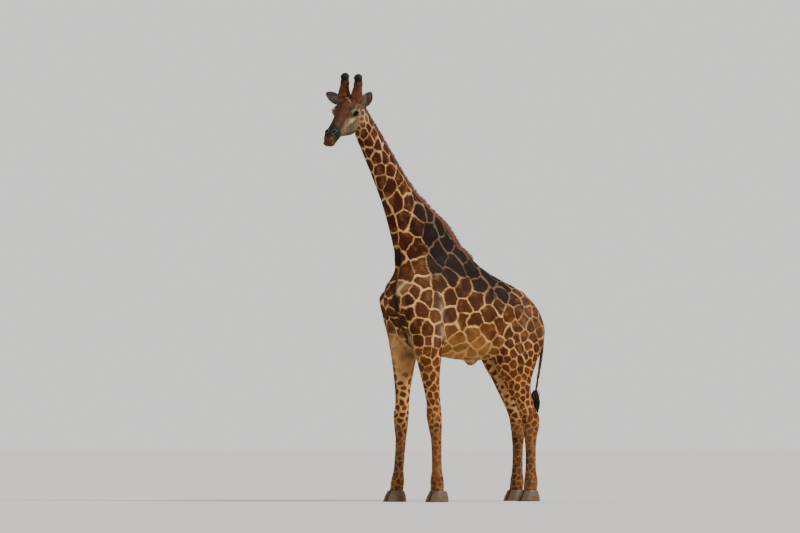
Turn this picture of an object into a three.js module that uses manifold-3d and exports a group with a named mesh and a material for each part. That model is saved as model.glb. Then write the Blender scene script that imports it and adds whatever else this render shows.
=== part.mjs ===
// A bull giraffe standing still, at life size.
// Millimetres, +Z up. The animal faces -Y and its left side is +X. The floor is z = 0.
// Forms are lofts: stacks of rounded slices whose reach is named at a few levels and
// runs smoothly between them. The forms are joined, then parted with thin cuts.
import * as THREE from 'three';
import { mergeVertices } from 'three/addons/utils/BufferGeometryUtils.js';
import Module from 'manifold-3d';

const wasm = await Module();
wasm.setup();

// ---------------------------------------------------------------- driving dimensions

const GAP = 0.3; // between neighbouring solids
const SPAN = 9000; // larger than the animal in every direction
const WELD = 0.02; // points closer than this are one
const FLESH = 2.15; // squareness of a slice of the body: 2 is an ellipse, more is boxier

const HOOF = { height: 135, length: 290, width: 112, cleft: 9 }; // of one claw

// Levels of the joints above the floor.
const FETLOCK = 225;
const KNEE = 980;
const HOCK = 965;

// Where each leg's axis runs: y of the axis at each level, front limbs then hind limbs.
const LEFT_FORE = { side: 1, foot: -428, fetlock: -444, knee: -463, elbow: -580, foot_x: 262 };
const RIGHT_FORE = { side: -1, foot: -690, fetlock: -672, knee: -624, elbow: -590, foot_x: 262 };
const LEFT_HIND = { side: 1, back: 0 };
const RIGHT_HIND = { side: -1, back: 112 };

const HEAD = {
  poll: new THREE.Vector3(0, -1477, 4778), // middle of the back of the skull
  turn: THREE.MathUtils.degToRad(31), // to the animal's left
  pitch: THREE.MathUtils.degToRad(32), // muzzle below level
  tilt: THREE.MathUtils.degToRad(-8), // left ear below the right one
  size: 1.07,
};

const EYE = { radius: 28, across: 129, forward: 256, up: 46 };

// Level planes that part the body, each as a point and the direction of the upper part.
const HEAD_CUT = { point: [0, -1360, 4620], up: [0.12, -0.8, 0.6] };
const NECK_CUT = { point: [0, -500, 3060], up: [0, -0.55, 0.83] };
const FORE_CUT = { point: [0, -600, 1985], up: [0, -0.12, 1] };
const HIND_CUT = { point: [0, 850, 2130], up: [0, -0.32, 1] };

// ---------------------------------------------------------------- solids

/** A solid from a geometry whose triangles close. */
function solid(geometry) {
  const bare = geometry.clone();
  bare.deleteAttribute('normal');
  bare.deleteAttribute('uv');
  const merged = mergeVertices(bare, 1e-3);
  const vertProperties = new Float32Array(merged.attributes.position.array);
  const triVerts = new Uint32Array(merged.index.array);
  return new wasm.Manifold(new wasm.Mesh({ numProp: 3, vertProperties, triVerts }));
}

/** The largest body of a solid, without slivers that a cut leaves. */
function largest(shape) {
  const bodies = shape.decompose();
  return bodies.reduce((best, body) => (body.volume() > best.volume() ? body : best));
}

function union(shapes) {
  return shapes.reduce((sum, shape) => sum.add(shape));
}

/** Everything on the upper side of a plane, starting `offset` above it. */
function above(plane, offset = 0) {
  const up = new THREE.Vector3(...plane.up).normalize();
  const block = new THREE.BoxGeometry(SPAN, SPAN, SPAN);
  block.translate(0, 0, SPAN / 2 + offset);
  block.applyQuaternion(new THREE.Quaternion().setFromUnitVectors(new THREE.Vector3(0, 0, 1), up));
  block.translate(...plane.point);
  return solid(block);
}

/** Everything below the same plane. */
function below(plane, offset = 0) {
  const flipped = { point: plane.point, up: plane.up.map((value) => -value) };
  return above(flipped, offset);
}

// ---------------------------------------------------------------- lofts

/** Smooth value of each column at `at`, from rows that start with their own place. */
function between(rows, at) {
  let i = rows.findIndex((row) => row[0] >= at);
  i = Math.min(Math.max(i, 1), rows.length - 1);
  const [a, b] = [rows[i - 1], rows[i]];
  const before = rows[i - 2] ?? a;
  const after = rows[i + 1] ?? b;
  const step = b[0] - a[0];
  const t = Math.min(Math.max((at - a[0]) / step, 0), 1);
  return a.map((start, column) => {
    const end = b[column];
    const leave = ((end - before[column]) / (b[0] - before[0])) * step;
    const arrive = ((after[column] - start) / (after[0] - a[0])) * step;
    const bend = (2 * t ** 3 - 3 * t ** 2 + 1) * start + (t ** 3 - 2 * t ** 2 + t) * leave;
    return bend + (3 * t ** 2 - 2 * t ** 3) * end + (t ** 3 - t ** 2) * arrive;
  });
}

/** A point on the rim of a slice whose four sides have their own reach. */
function rim(slice, angle, grow) {
  const { left, right, low, high, middle, level, square } = slice;
  const c = Math.cos(angle);
  const s = Math.sin(angle);
  const across = (c > 0 ? right - middle : middle - left) + grow;
  const upward = (s > 0 ? high - level : level - low) + grow;
  const power = 2 / square;
  return [
    middle + Math.sign(c) * across * Math.abs(c) ** power,
    level + Math.sign(s) * upward * Math.abs(s) ** power,
  ];
}

/**
 * A closed form from slices. `sliceAt(at)` names a slice's reach, and
 * `place(u, v, at)` puts a rim point in space. Both ends are domed.
 */
function loft({ from, to, sliceAt, place, around = 16, rings = 20, dome = [0, 0], grow = 0 }) {
  const levels = [];
  const DOME = [80, 55, 28].map((degrees) => THREE.MathUtils.degToRad(degrees));
  for (const angle of DOME) {
    levels.push([from - dome[0] * Math.sin(angle), Math.cos(angle), from]);
  }
  for (let i = 0; i <= rings; i += 1) {
    const at = from + ((to - from) * i) / rings;
    levels.push([at, 1, at]);
  }
  for (const angle of DOME.toReversed()) {
    levels.push([to + dome[1] * Math.sin(angle), Math.cos(angle), to]);
  }
  const used = levels.filter(([, scale, at], i) => scale === 1 || dome[at === from ? 0 : 1] > 0);
  const points = [];
  const ringStart = [];
  for (const [at, scale, level] of used) {
    const slice = sliceAt(level);
    ringStart.push(points.length);
    for (let i = 0; i < around; i += 1) {
      const [u, v] = rim(slice, (2 * Math.PI * i) / around, grow);
      const cu = slice.middle + (u - slice.middle) * scale;
      const cv = slice.level + (v - slice.level) * scale;
      points.push(place(cu, cv, at));
    }
  }
  const first = sliceAt(from);
  const last = sliceAt(to);
  const bottom = points.push(place(first.middle, first.level, from - dome[0] - grow)) - 1;
  const top = points.push(place(last.middle, last.level, to + dome[1] + grow)) - 1;
  const faces = [];
  for (let i = 0; i < around; i += 1) {
    const j = (i + 1) % around;
    faces.push([bottom, ringStart[0] + j, ringStart[0] + i]);
    for (let k = 0; k + 1 < ringStart.length; k += 1) {
      const [a, b] = [ringStart[k], ringStart[k + 1]];
      faces.push([a + i, a + j, b + j], [a + i, b + j, b + i]);
    }
    const end = ringStart.at(-1);
    faces.push([top, end + i, end + j]);
  }
  return solid(closed(points, faces));
}

/** A geometry from points and triangles, turned to face outward. */
function closed(points, faces) {
  let volume = 0;
  for (const [a, b, c] of faces) {
    volume += points[a].dot(new THREE.Vector3().crossVectors(points[b], points[c]));
  }
  const outward = volume > 0 ? faces : faces.map(([a, b, c]) => [a, c, b]);
  const geometry = new THREE.BufferGeometry().setFromPoints(points);
  geometry.setIndex(outward.flat());
  return geometry;
}

/** A rounded form about a middle, with its reach along X, Y and Z. */
function ellipsoid(middle, reach, grow = 0, around = 14) {
  const sphere = new THREE.SphereGeometry(1, around, Math.round(around * 0.6));
  sphere.scale(...reach.map((value) => value + grow));
  sphere.translate(...middle);
  return sphere;
}

// ---------------------------------------------------------------- trunk and neck

// y, underline, topline, half width, level of the widest part
const TRUNK = [
  [-900, 2210, 2720, 190, 2450],
  [-790, 2000, 2900, 262, 2420],
  [-600, 1845, 3060, 305, 2400],
  [-300, 1770, 3150, 330, 2340],
  [0, 1730, 3120, 350, 2290],
  [250, 1712, 2925, 370, 2240],
  [500, 1738, 2778, 366, 2270],
  [800, 1850, 2652, 316, 2330],
  [980, 1975, 2535, 268, 2360],
  [1110, 2110, 2395, 170, 2280],
];

function trunkForm(grow = 0) {
  return loft({
    from: TRUNK[0][0],
    to: TRUNK.at(-1)[0],
    sliceAt: (at) => {
      const [, low, high, half, level] = between(TRUNK, at);
      return { left: -half, right: half, low, high, middle: 0, level, square: FLESH };
    },
    place: (u, v, at) => new THREE.Vector3(u, at, v),
    around: 16,
    rings: 12,
    dome: [85, 80],
    grow,
  });
}

// z, front, back, half width
const NECK = [
  [2500, -880, -40, 230],
  [2840, -868, 60, 232],
  [3050, -885, 20, 206],
  [3310, -962, -120, 172],
  [3660, -1080, -545, 150],
  [3930, -1204, -775, 138],
  [4240, -1352, -995, 124],
  [4500, -1484, -1180, 116],
  [4700, -1530, -1330, 100],
];

function neckForm(grow = 0) {
  return loft({
    from: NECK[0][0],
    to: NECK.at(-1)[0],
    sliceAt: (at) => {
      const [, front, back, half] = between(NECK, at);
      const level = front + (back - front) * 0.52;
      return { left: -half, right: half, low: front, high: back, middle: 0, level, square: 2.1 };
    },
    place: (u, v, at) => new THREE.Vector3(u, v, at),
    around: 16,
    rings: 13,
    dome: [40, 60],
    grow,
  });
}

// z, back edge of the hair, depth of the ridge, half width
const MANE = [
  [2960, 222, 120, 26],
  [3060, 140, 170, 34],
  [3240, 14, 210, 40],
  [3425, -132, 230, 38],
  [3580, -390, 190, 32],
  [3830, -634, 170, 28],
  [4224, -908, 165, 25],
  [4547, -1142, 160, 23],
  [4760, -1306, 150, 22],
];

function maneForm() {
  return loft({
    from: MANE[0][0],
    to: MANE.at(-1)[0],
    sliceAt: (at) => {
      const [, back, depth, half] = between(MANE, at);
      const level = back - depth;
      return { left: -half, right: half, low: level - 40, high: back, middle: 0, level, square: 1.7 };
    },
    place: (u, v, at) => new THREE.Vector3(u, v, at),
    around: 8,
    rings: 14,
    dome: [60, 90],
  });
}

// ---------------------------------------------------------------- legs

// Sections about the leg's axis: z, forward reach, rearward reach, inner reach, outer reach
const FORELEG = [
  [112, 94, 74, 84, 84],
  [FETLOCK, 84, 84, 78, 78],
  [330, 62, 70, 60, 60],
  [520, 56, 70, 55, 55],
  [760, 62, 74, 58, 60],
  [KNEE - 60, 92, 84, 76, 78],
  [KNEE + 40, 104, 92, 80, 82],
  [1150, 84, 88, 70, 74],
  [1400, 106, 110, 80, 88],
  [1650, 145, 160, 96, 104],
  [1850, 185, 215, 108, 118],
  [2100, 252, 290, 120, 118],
  [2430, 330, 260, 130, 90],
  [2700, 180, 430, 150, 44],
  [2880, 40, 400, 150, -70],
];

// Where the foreleg's axis stands out from the middle: z, x
const FORE_OUT = [
  [112, 262],
  [KNEE, 242],
  [1750, 246],
  [2450, 244],
  [3000, 210],
];

function forelegForm(leg, grow = 0) {
  const axis = [
    [0, leg.foot],
    [FETLOCK, leg.fetlock],
    [KNEE, leg.knee],
    [1850, leg.elbow],
    [2500, -598],
    [3000, -560],
  ];
  return loft({
    from: FORELEG[0][0],
    to: FORELEG.at(-1)[0],
    sliceAt: (at) => {
      const [, front, back, inner, outer] = between(FORELEG, at);
      const [, y] = between(axis, at);
      const [, x] = between(FORE_OUT, at);
      return { left: x - inner, right: x + outer, low: y - front, high: y + back,
        middle: x, level: y, square: FLESH };
    },
    place: (u, v, at) => new THREE.Vector3(leg.side * u, v, at),
    around: 12,
    rings: 21,
    dome: [0, 60],
    grow,
  });
}

// z, front, back, inner side, outer side, for the leg that stands further forward
const HINDLEG = [
  [112, 880, 1046, 140, 304],
  [FETLOCK, 892, 1062, 144, 300],
  [330, 905, 1048, 158, 282],
  [560, 910, 1044, 163, 277],
  [760, 896, 1052, 158, 282],
  [HOCK - 60, 872, 1092, 140, 296],
  [HOCK + 60, 848, 1110, 134, 298],
  [1120, 812, 1040, 142, 286],
  [1300, 690, 985, 120, 288],
  [1500, 575, 1000, 90, 296],
  [1700, 455, 1085, 55, 318],
  [1900, 400, 1180, 25, 332],
  [2100, 420, 1220, 20, 330],
  [2360, 520, 1130, 20, 288],
  [2560, 630, 930, 60, 205],
];

function hindlegForm(leg, grow = 0) {
  // The far leg stands back by `leg.back` at the foot, and less towards the hip.
  const shift = [
    [0, leg.back * 0.9],
    [1400, leg.back * 1.1],
    [2150, leg.back * 0.2],
    [2700, 0],
  ];
  return loft({
    from: HINDLEG[0][0],
    to: HINDLEG.at(-1)[0],
    sliceAt: (at) => {
      const [, front, back, inner, outer] = between(HINDLEG, at);
      const [, y] = between(shift, at);
      return { left: inner, right: outer, low: front + y, high: back + y,
        middle: (inner + outer) / 2, level: (front + back) / 2 + y, square: FLESH };
    },
    place: (u, v, at) => new THREE.Vector3(leg.side * u, v, at),
    around: 12,
    rings: 21,
    dome: [0, 40],
    grow,
  });
}

/** One claw of a hoof: a D-shaped block with a flat sole, its toe to the front. */
function claw(x, y, inward) {
  const { height, length, width } = HOOF;
  // z, toe, heel, half width
  const rows = [
    [0, -length * 0.55, length * 0.4, width / 2],
    [height * 0.12, -length * 0.56, length * 0.42, width / 2],
    [height * 0.6, -length * 0.42, length * 0.36, width * 0.46],
    [height, -length * 0.3, length * 0.28, width * 0.4],
  ];
  return loft({
    from: 0,
    to: height,
    sliceAt: (at) => {
      const [, toe, heel, half] = between(rows, at);
      const inner = (HOOF.width / 2) * 0.92;
      return { left: inward > 0 ? -half : -inner, right: inward > 0 ? inner : half,
        low: toe, high: heel, middle: inward * half * 0.45, level: 0, square: 2.3 };
    },
    place: (u, v, at) => new THREE.Vector3(x + u, y + v, at),
    around: 10,
    rings: 2,
  });
}

// ---------------------------------------------------------------- tail and sheath

// z, x and y of the axis, half depth, half width
const TAIL = [
  [1330, -52, 1246, 15, 14],
  [1600, -42, 1292, 19, 18],
  [1900, -20, 1322, 24, 22],
  [2150, 0, 1290, 32, 30],
  [2310, 0, 1190, 44, 42],
];

const TUFT = [
  [1020, -62, 1252, 40, 36],
  [1110, -62, 1248, 58, 52],
  [1210, -58, 1244, 50, 46],
  [1300, -53, 1244, 30, 28],
];

function tailForm(rows, rings, dome) {
  return loft({
    from: rows[0][0],
    to: rows.at(-1)[0],
    sliceAt: (at) => {
      const [, x, y, depth, half] = between(rows, at);
      return { left: x - half, right: x + half, low: y - depth, high: y + depth,
        middle: x, level: y, square: 2 };
    },
    place: (u, v, at) => new THREE.Vector3(u, v, at),
    around: 8,
    rings,
    dome,
  });
}

// ---------------------------------------------------------------- head

const headAxes = (() => {
  const { turn, pitch, tilt } = HEAD;
  const forward = new THREE.Vector3(Math.sin(turn) * Math.cos(pitch),
    -Math.cos(turn) * Math.cos(pitch), -Math.sin(pitch));
  const left = new THREE.Vector3(Math.cos(turn), Math.sin(turn), 0);
  const up = new THREE.Vector3().crossVectors(forward, left);
  left.applyAxisAngle(forward, tilt);
  up.applyAxisAngle(forward, tilt);
  return { forward, left, up };
})();

/** A point of the head: `u` to its left, `at` forward of the poll, `v` up. */
function onHead(u, v, at) {
  const { forward, left, up } = headAxes;
  const { poll, size } = HEAD;
  return poll.clone().addScaledVector(left, u * size).addScaledVector(forward, at * size)
    .addScaledVector(up, v * size);
}

/** Moves a geometry drawn in the head's own axes, X left, Y forward and Z up, to its place. */
function setOnHead(geometry) {
  const { forward, left, up } = headAxes;
  const { poll, size } = HEAD;
  const basis = new THREE.Matrix4().makeBasis(left, forward, up);
  basis.scale(new THREE.Vector3(size, size, size));
  basis.setPosition(poll);
  const placed = mergeVertices(geometry, 1e-3);
  placed.applyMatrix4(basis);
  if (basis.determinant() < 0) placed.index.array.reverse();
  return placed;
}

// forward of the poll, underside, top, half width, level of the widest part
const SKULL = [
  [-30, -90, 72, 84, 10],
  [50, -192, 112, 106, 20],
  [120, -252, 146, 118, 30],
  [200, -272, 168, 124, 36],
  [290, -242, 164, 114, 26],
  [400, -190, 124, 90, 6],
  [520, -132, 92, 73, -2],
  [620, -84, 70, 69, 0],
  [700, -62, 50, 68, 0],
  [760, -52, 32, 62, -8],
  [795, -44, 12, 50, -14],
];

// The lower lip and chin
const CHIN = [
  [500, -138, -14, 46, -76],
  [600, -130, -12, 50, -70],
  [680, -126, -12, 51, -68],
  [728, -128, -16, 48, -70],
  [754, -112, -20, 40, -66],
];

function headLoft(rows, dome, grow, square, rings) {
  return loft({
    from: rows[0][0],
    to: rows.at(-1)[0],
    sliceAt: (at) => {
      const [, low, high, half, level] = between(rows, at);
      return { left: -half, right: half, low, high, middle: 0, level, square };
    },
    place: onHead,
    around: 16,
    rings,
    dome,
    grow,
  });
}

function skullForm(grow = 0) {
  const forms = [
    headLoft(SKULL, [50, 24], grow, 2.15, 14),
    headLoft(CHIN, [40, 18], grow, 2.2, 5),
    solid(setOnHead(ellipsoid([0, 238, 104], [54, 110, 80], grow, 12))),
  ];
  for (const side of [-1, 1]) {
    const { across, forward, up } = EYE;
    const orbit = [side * (across - 26), forward, up + 4];
    forms.push(solid(setOnHead(ellipsoid(orbit, [42, 84, 52], grow, 12))));
    forms.push(solid(setOnHead(ellipsoid([side * 44, 690, 18], [29, 48, 32], grow, 8))));
  }
  return union(forms);
}

/** A horn: a straight shaft with a flared base and a round knob, leaning back. */
function ossiconeForm(side, grow = 0) {
  const foot = new THREE.Vector3(side * 88, 96, 84);
  const tip = new THREE.Vector3(side * 80, -16, 324);
  const length = foot.distanceTo(tip);
  // along the shaft, radius
  const rows = [
    [0, 64],
    [length * 0.3, 54],
    [length * 0.68, 39],
    [length * 0.88, 50],
    [length, 48],
  ];
  const shaft = loft({
    from: 0,
    to: length,
    sliceAt: (at) => {
      const [, radius] = between(rows, at);
      return { left: -radius, right: radius, low: -radius, high: radius,
        middle: 0, level: 0, square: 2 };
    },
    place: (u, v, at) => {
      const middle = foot.clone().lerp(tip, at / length);
      const along = tip.clone().sub(foot).normalize();
      const across = new THREE.Vector3(1, 0, 0).addScaledVector(along, -along.x).normalize();
      const upward = new THREE.Vector3().crossVectors(along, across);
      const point = middle.addScaledVector(across, u).addScaledVector(upward, v)
        .addScaledVector(along, at > length ? at - length : Math.min(at, 0));
      return onHead(point.x, point.z, point.y);
    },
    around: 12,
    rings: 6,
    dome: [0, 30],
    grow,
  });
  return shaft;
}

const EARS = {
  left: { foot: [112, 36, 8], tip: [222, -40, 172] },
  right: { foot: [-112, 36, 30], tip: [-346, -40, 100] },
};

/** A cupped leaf: crescent slices from a narrow base through a wide middle to a point. */
function earForm(side) {
  const { foot, tip } = side > 0 ? EARS.left : EARS.right;
  const start = new THREE.Vector3(...foot);
  const end = new THREE.Vector3(...tip);
  const along = end.clone().sub(start).normalize();
  const length = start.distanceTo(end);
  const forward = new THREE.Vector3(side * 0.1, 1, 0.45).normalize();
  const across = new THREE.Vector3().crossVectors(along, forward).normalize();
  const open = new THREE.Vector3().crossVectors(across, along).normalize();
  // along the ear, half width, depth of the cup, thickness
  const rows = [
    [-0.12, 22, 30, 34],
    [0.1, 36, 34, 22],
    [0.35, 56, 38, 11],
    [0.6, 56, 30, 8],
    [0.82, 38, 17, 7],
    [0.97, 12, 5, 6],
  ];
  const STEPS = 8;
  const ARC = 4;
  const points = [];
  for (let k = 0; k <= STEPS; k += 1) {
    const at = rows[0][0] + ((rows.at(-1)[0] - rows[0][0]) * k) / STEPS;
    const [, half, cup, thick] = between(rows, at);
    const middle = start.clone().addScaledVector(along, at * length);
    for (let i = 0; i <= ARC; i += 1) {
      const a = -1 + (2 * i) / ARC;
      points.push([middle, a * half, -cup * (1 - a * a) - thick * (1 - a * a) * 0.5 - 2]);
    }
    for (let i = ARC; i >= 0; i -= 1) {
      const a = -1 + (2 * i) / ARC;
      points.push([middle, a * (half - 2), -cup * (1 - a * a) + thick * (1 - a * a) * 0.5 + 2]);
    }
  }
  const placed = points.map(([middle, u, v]) => {
    const point = middle.clone().addScaledVector(across, u).addScaledVector(open, v + 14);
    return onHead(point.x, point.z, point.y);
  });
  const ring = 2 * (ARC + 1);
  const first = placed.slice(0, ring).reduce((sum, p) => sum.add(p), new THREE.Vector3());
  const last = placed.slice(-ring).reduce((sum, p) => sum.add(p), new THREE.Vector3());
  const bottom = placed.push(first.divideScalar(ring)) - 1;
  const top = placed.push(last.divideScalar(ring)) - 1;
  const faces = [];
  for (let i = 0; i < ring; i += 1) {
    const j = (i + 1) % ring;
    faces.push([bottom, j, i], [top, STEPS * ring + i, STEPS * ring + j]);
    for (let k = 0; k < STEPS; k += 1) {
      const [a, b] = [k * ring, (k + 1) * ring];
      faces.push([a + i, a + j, b + j], [a + i, b + j, b + i]);
    }
  }
  return solid(closed(placed, faces));
}

function eyeForm(side, grow = 0) {
  const { radius, across, forward, up } = EYE;
  const middle = [side * across, forward, up];
  return solid(setOnHead(ellipsoid(middle, [radius, radius, radius], grow, 10)));
}

// ---------------------------------------------------------------- the parted animal

const nodes = new Map();

const skull = skullForm();
const ears = { left: earForm(1), right: earForm(-1) };
const horns = { left: ossiconeForm(1), right: ossiconeForm(-1) };
const eyes = { left: eyeForm(1), right: eyeForm(-1) };
const forelegs = { left: forelegForm(LEFT_FORE), right: forelegForm(RIGHT_FORE) };
const hindlegs = { left: hindlegForm(LEFT_HIND), right: hindlegForm(RIGHT_HIND) };
const legsGrown = {
  foreleg_left: forelegForm(LEFT_FORE, GAP),
  foreleg_right: forelegForm(RIGHT_FORE, GAP),
  hindleg_left: hindlegForm(LEFT_HIND, GAP),
  hindleg_right: hindlegForm(RIGHT_HIND, GAP),
};

const torso = union([trunkForm(), neckForm(), forelegs.left, forelegs.right,
  hindlegs.left, hindlegs.right]);

// Legs keep their own columns below the parting planes, and the trunk is cut clear of them.
nodes.set('foreleg_left', largest(forelegs.left.intersect(below(FORE_CUT))));
nodes.set('foreleg_right', largest(forelegs.right.intersect(below(FORE_CUT))));
nodes.set('hindleg_left', largest(hindlegs.left.intersect(below(HIND_CUT))));
nodes.set('hindleg_right', largest(hindlegs.right.intersect(below(HIND_CUT))));

let rest = torso;
for (const [name, grown] of Object.entries(legsGrown)) {
  const plane = name.startsWith('fore') ? FORE_CUT : HIND_CUT;
  rest = rest.subtract(grown.intersect(below(plane, -GAP)));
}
rest = largest(rest);

nodes.set('trunk', largest(rest.intersect(below(NECK_CUT, GAP / 2))));
const neckAndHead = rest.intersect(above(NECK_CUT, GAP / 2)).add(skull);
nodes.set('neck', largest(neckAndHead.intersect(below(HEAD_CUT, GAP / 2))));
let head = largest(neckAndHead.intersect(above(HEAD_CUT, GAP / 2)));

const grownSkull = skullForm(GAP);
const grownNeck = neckForm(GAP);
const grownTrunk = trunkForm(GAP);
for (const [side, sign] of [['left', 1], ['right', -1]]) {
  head = head.subtract(eyeForm(sign, GAP));
  const horn = horns[side].subtract(grownSkull);
  nodes.set(`ossicone_${side}`, largest(horn));
  const ear = ears[side].subtract(grownSkull).subtract(grownNeck).subtract(ossiconeForm(sign, GAP));
  nodes.set(`ear_${side}`, largest(ear));
  nodes.set(`eye_${side}`, largest(eyes[side]));
}
nodes.set('head', largest(head));

const mane = maneForm().subtract(grownNeck).subtract(grownTrunk).subtract(grownSkull)
  .subtract(legsGrown.foreleg_left).subtract(legsGrown.foreleg_right);
nodes.set('mane', largest(mane));

const tail = tailForm(TAIL, 9, [0, 40]);
nodes.set('tail', largest(tail.subtract(grownTrunk).subtract(legsGrown.hindleg_left)
  .subtract(legsGrown.hindleg_right)));
const tailGrown = tailForm(TAIL.map(([z, x, y, d, w]) => [z, x, y, d + GAP, w + GAP]), 9, [GAP, 40]);
nodes.set('tail_tuft', largest(tailForm(TUFT, 5, [60, 24]).subtract(tailGrown)));

const sheath = solid(ellipsoid([0, 232, 1742], [60, 120, 108], 0, 14));
nodes.set('sheath', largest(sheath.subtract(grownTrunk)));

const feet = {
  front_left: [LEFT_FORE.foot_x, LEFT_FORE.foot],
  front_right: [-RIGHT_FORE.foot_x, RIGHT_FORE.foot],
  hind_left: [222, 958 + LEFT_HIND.back],
  hind_right: [-222, 958 + RIGHT_HIND.back],
};
const legNodes = { front_left: 'foreleg_left', front_right: 'foreleg_right',
  hind_left: 'hindleg_left', hind_right: 'hindleg_right' };
for (const [foot, [x, y]] of Object.entries(feet)) {
  const apart = (HOOF.width + HOOF.cleft) / 2;
  for (const [claw_side, sign] of [['left', 1], ['right', -1]]) {
    const shape = claw(x + sign * apart, y, -sign).subtract(legsGrown[legNodes[foot]]);
    nodes.set(`hoof_${foot}_${claw_side}`, largest(shape));
  }
}

// ---------------------------------------------------------------- meshes

const COLOURS = {
  coat: { color: '#8a5a34', roughness: 0.85 },
  horn: { color: '#6b3f22', roughness: 0.85 },
  mane: { color: '#6e3d1e', roughness: 0.9 },
  tuft: { color: '#1b1512', roughness: 0.85 },
  eye: { color: '#120c09', roughness: 0.1 },
  hoof: { color: '#4a3c30', roughness: 0.6 },
  sheath: { color: '#8d6f55', roughness: 0.8 },
};

function finishOf(name) {
  if (name.startsWith('hoof')) return 'hoof';
  if (name.startsWith('eye')) return 'eye';
  if (name.startsWith('ossicone')) return 'horn';
  if (name === 'tail_tuft') return 'tuft';
  return name in COLOURS ? name : 'coat';
}

/** A solid's geometry, with points closer than `WELD` made one. */
function geometryOf(shape) {
  const { vertProperties, triVerts } = shape.getMesh();
  const raw = new THREE.BufferGeometry();
  raw.setAttribute('position', new THREE.BufferAttribute(vertProperties.slice(), 3));
  raw.setIndex(new THREE.BufferAttribute(triVerts.slice(), 1));
  const welded = mergeVertices(raw, WELD);
  const corners = welded.index.array;
  const kept = [];
  for (let i = 0; i < corners.length; i += 3) {
    const [a, b, c] = corners.slice(i, i + 3);
    if (a !== b && b !== c && c !== a) kept.push(a, b, c);
  }
  welded.setIndex(kept);
  return welded;
}

function meshOf(name, shape) {
  const geometry = geometryOf(shape);
  const material = new THREE.MeshStandardMaterial({ metalness: 0, ...COLOURS[finishOf(name)] });
  const mesh = new THREE.Mesh(geometry, material);
  mesh.name = name;
  return mesh;
}

const giraffe = new THREE.Group();
for (const [name, shape] of nodes) giraffe.add(meshOf(name, shape));

// The origin is the middle of the whole animal's footprint, on the floor.
const box = new THREE.Box3().setFromObject(giraffe);
giraffe.position.set(-(box.min.x + box.max.x) / 2, -(box.min.y + box.max.y) / 2, -box.min.z);
giraffe.updateMatrixWorld(true);

export default giraffe;
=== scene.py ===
import itertools
import math

import bmesh
import bpy
import numpy as np
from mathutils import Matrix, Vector
from mathutils.bvhtree import BVHTree
from mathutils.kdtree import KDTree


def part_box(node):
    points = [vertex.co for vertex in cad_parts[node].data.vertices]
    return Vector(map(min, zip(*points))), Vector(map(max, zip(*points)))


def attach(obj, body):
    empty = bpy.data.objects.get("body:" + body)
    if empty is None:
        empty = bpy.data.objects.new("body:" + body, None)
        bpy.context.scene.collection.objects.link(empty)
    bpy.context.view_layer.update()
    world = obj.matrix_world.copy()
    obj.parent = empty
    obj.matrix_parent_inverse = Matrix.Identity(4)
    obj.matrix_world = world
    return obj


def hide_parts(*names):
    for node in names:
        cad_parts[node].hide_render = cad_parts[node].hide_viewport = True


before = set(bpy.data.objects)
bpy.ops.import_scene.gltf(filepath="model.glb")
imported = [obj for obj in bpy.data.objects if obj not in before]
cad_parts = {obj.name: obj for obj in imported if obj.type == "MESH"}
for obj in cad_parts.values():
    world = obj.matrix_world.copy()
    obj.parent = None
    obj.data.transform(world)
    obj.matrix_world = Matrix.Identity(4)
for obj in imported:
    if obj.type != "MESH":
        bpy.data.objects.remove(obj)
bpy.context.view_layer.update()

# ------------------------------------------------------------------ places
# Lengths are metres. The body's own axes start under the middle of the barrel, with the
# animal facing -Y and its left side at +X. The head's own axes start at the poll.

HOOVES = [name for name in sorted(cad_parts) if name.startswith("hoof_")]
EYES = {"left": "eye_left", "right": "eye_right"}
RUMP_REACH = 1.2


def middle_of(node):
    """The middle of a CAD node's box."""
    low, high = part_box(node)
    return np.array((low + high) / 2)


MIDLINE = float(np.mean([middle_of(name)[0] for name in HOOVES if "front" in name]))
BODY_ZERO = np.array([MIDLINE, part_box("trunk")[1].y - RUMP_REACH, 0.0])

HEAD_TURN = math.radians(31)
HEAD_PITCH = math.radians(32)
HEAD_SIZE = 1.07
EYE_FORWARD, EYE_UP = 0.256, 0.046
EYE_RADIUS = (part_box("eye_left")[1].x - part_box("eye_left")[0].x) / 2


def unit(vector):
    vector = np.asarray(vector, float)
    return vector / np.linalg.norm(vector, axis=-1, keepdims=True)


HEAD_LEFT = unit(middle_of("eye_left") - middle_of("eye_right"))
HEAD_FORWARD = np.array(
    [
        math.sin(HEAD_TURN) * math.cos(HEAD_PITCH),
        -math.cos(HEAD_TURN) * math.cos(HEAD_PITCH),
        -math.sin(HEAD_PITCH),
    ]
)
HEAD_UP = np.cross(HEAD_FORWARD, HEAD_LEFT)
HEAD_AXES = np.array([HEAD_LEFT, HEAD_FORWARD, HEAD_UP])
HEAD_ZERO = (middle_of("eye_left") + middle_of("eye_right")) / 2 - HEAD_SIZE * (
    EYE_FORWARD * HEAD_FORWARD + EYE_UP * HEAD_UP
)


def on_body(points):
    """Places given on the body's axes, in the frame."""
    return np.asarray(points, float) + BODY_ZERO


def on_head(points):
    """Places given as left, forward and up on the head, in the frame."""
    return HEAD_ZERO + HEAD_SIZE * np.asarray(points, float) @ HEAD_AXES


def both(place):
    """A place on the left of the head and its mirror."""
    left, forward, up = place
    return [(left, forward, up), (-left, forward, up)]


def to_body(points):
    return points - BODY_ZERO


def to_head(points):
    return (points - HEAD_ZERO) @ HEAD_AXES.T / HEAD_SIZE


# ------------------------------------------------------------------ numbers


def rise(value, low, high):
    """0 below low, 1 above high and a smooth climb between them."""
    share = np.clip((value - low) / (high - low), 0, 1)
    return share * share * (3 - 2 * share)


def mix(first, second, share):
    """Colours or numbers between two: the first where the share is 0, the second where it is 1."""
    share = np.asarray(share)
    if np.ndim(first) > 1 or np.ndim(second) > 1 or np.ndim(share) == 1 and np.ndim(first):
        share = share[..., None] if share.ndim == 1 else share
    return first * (1 - share) + second * share


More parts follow.
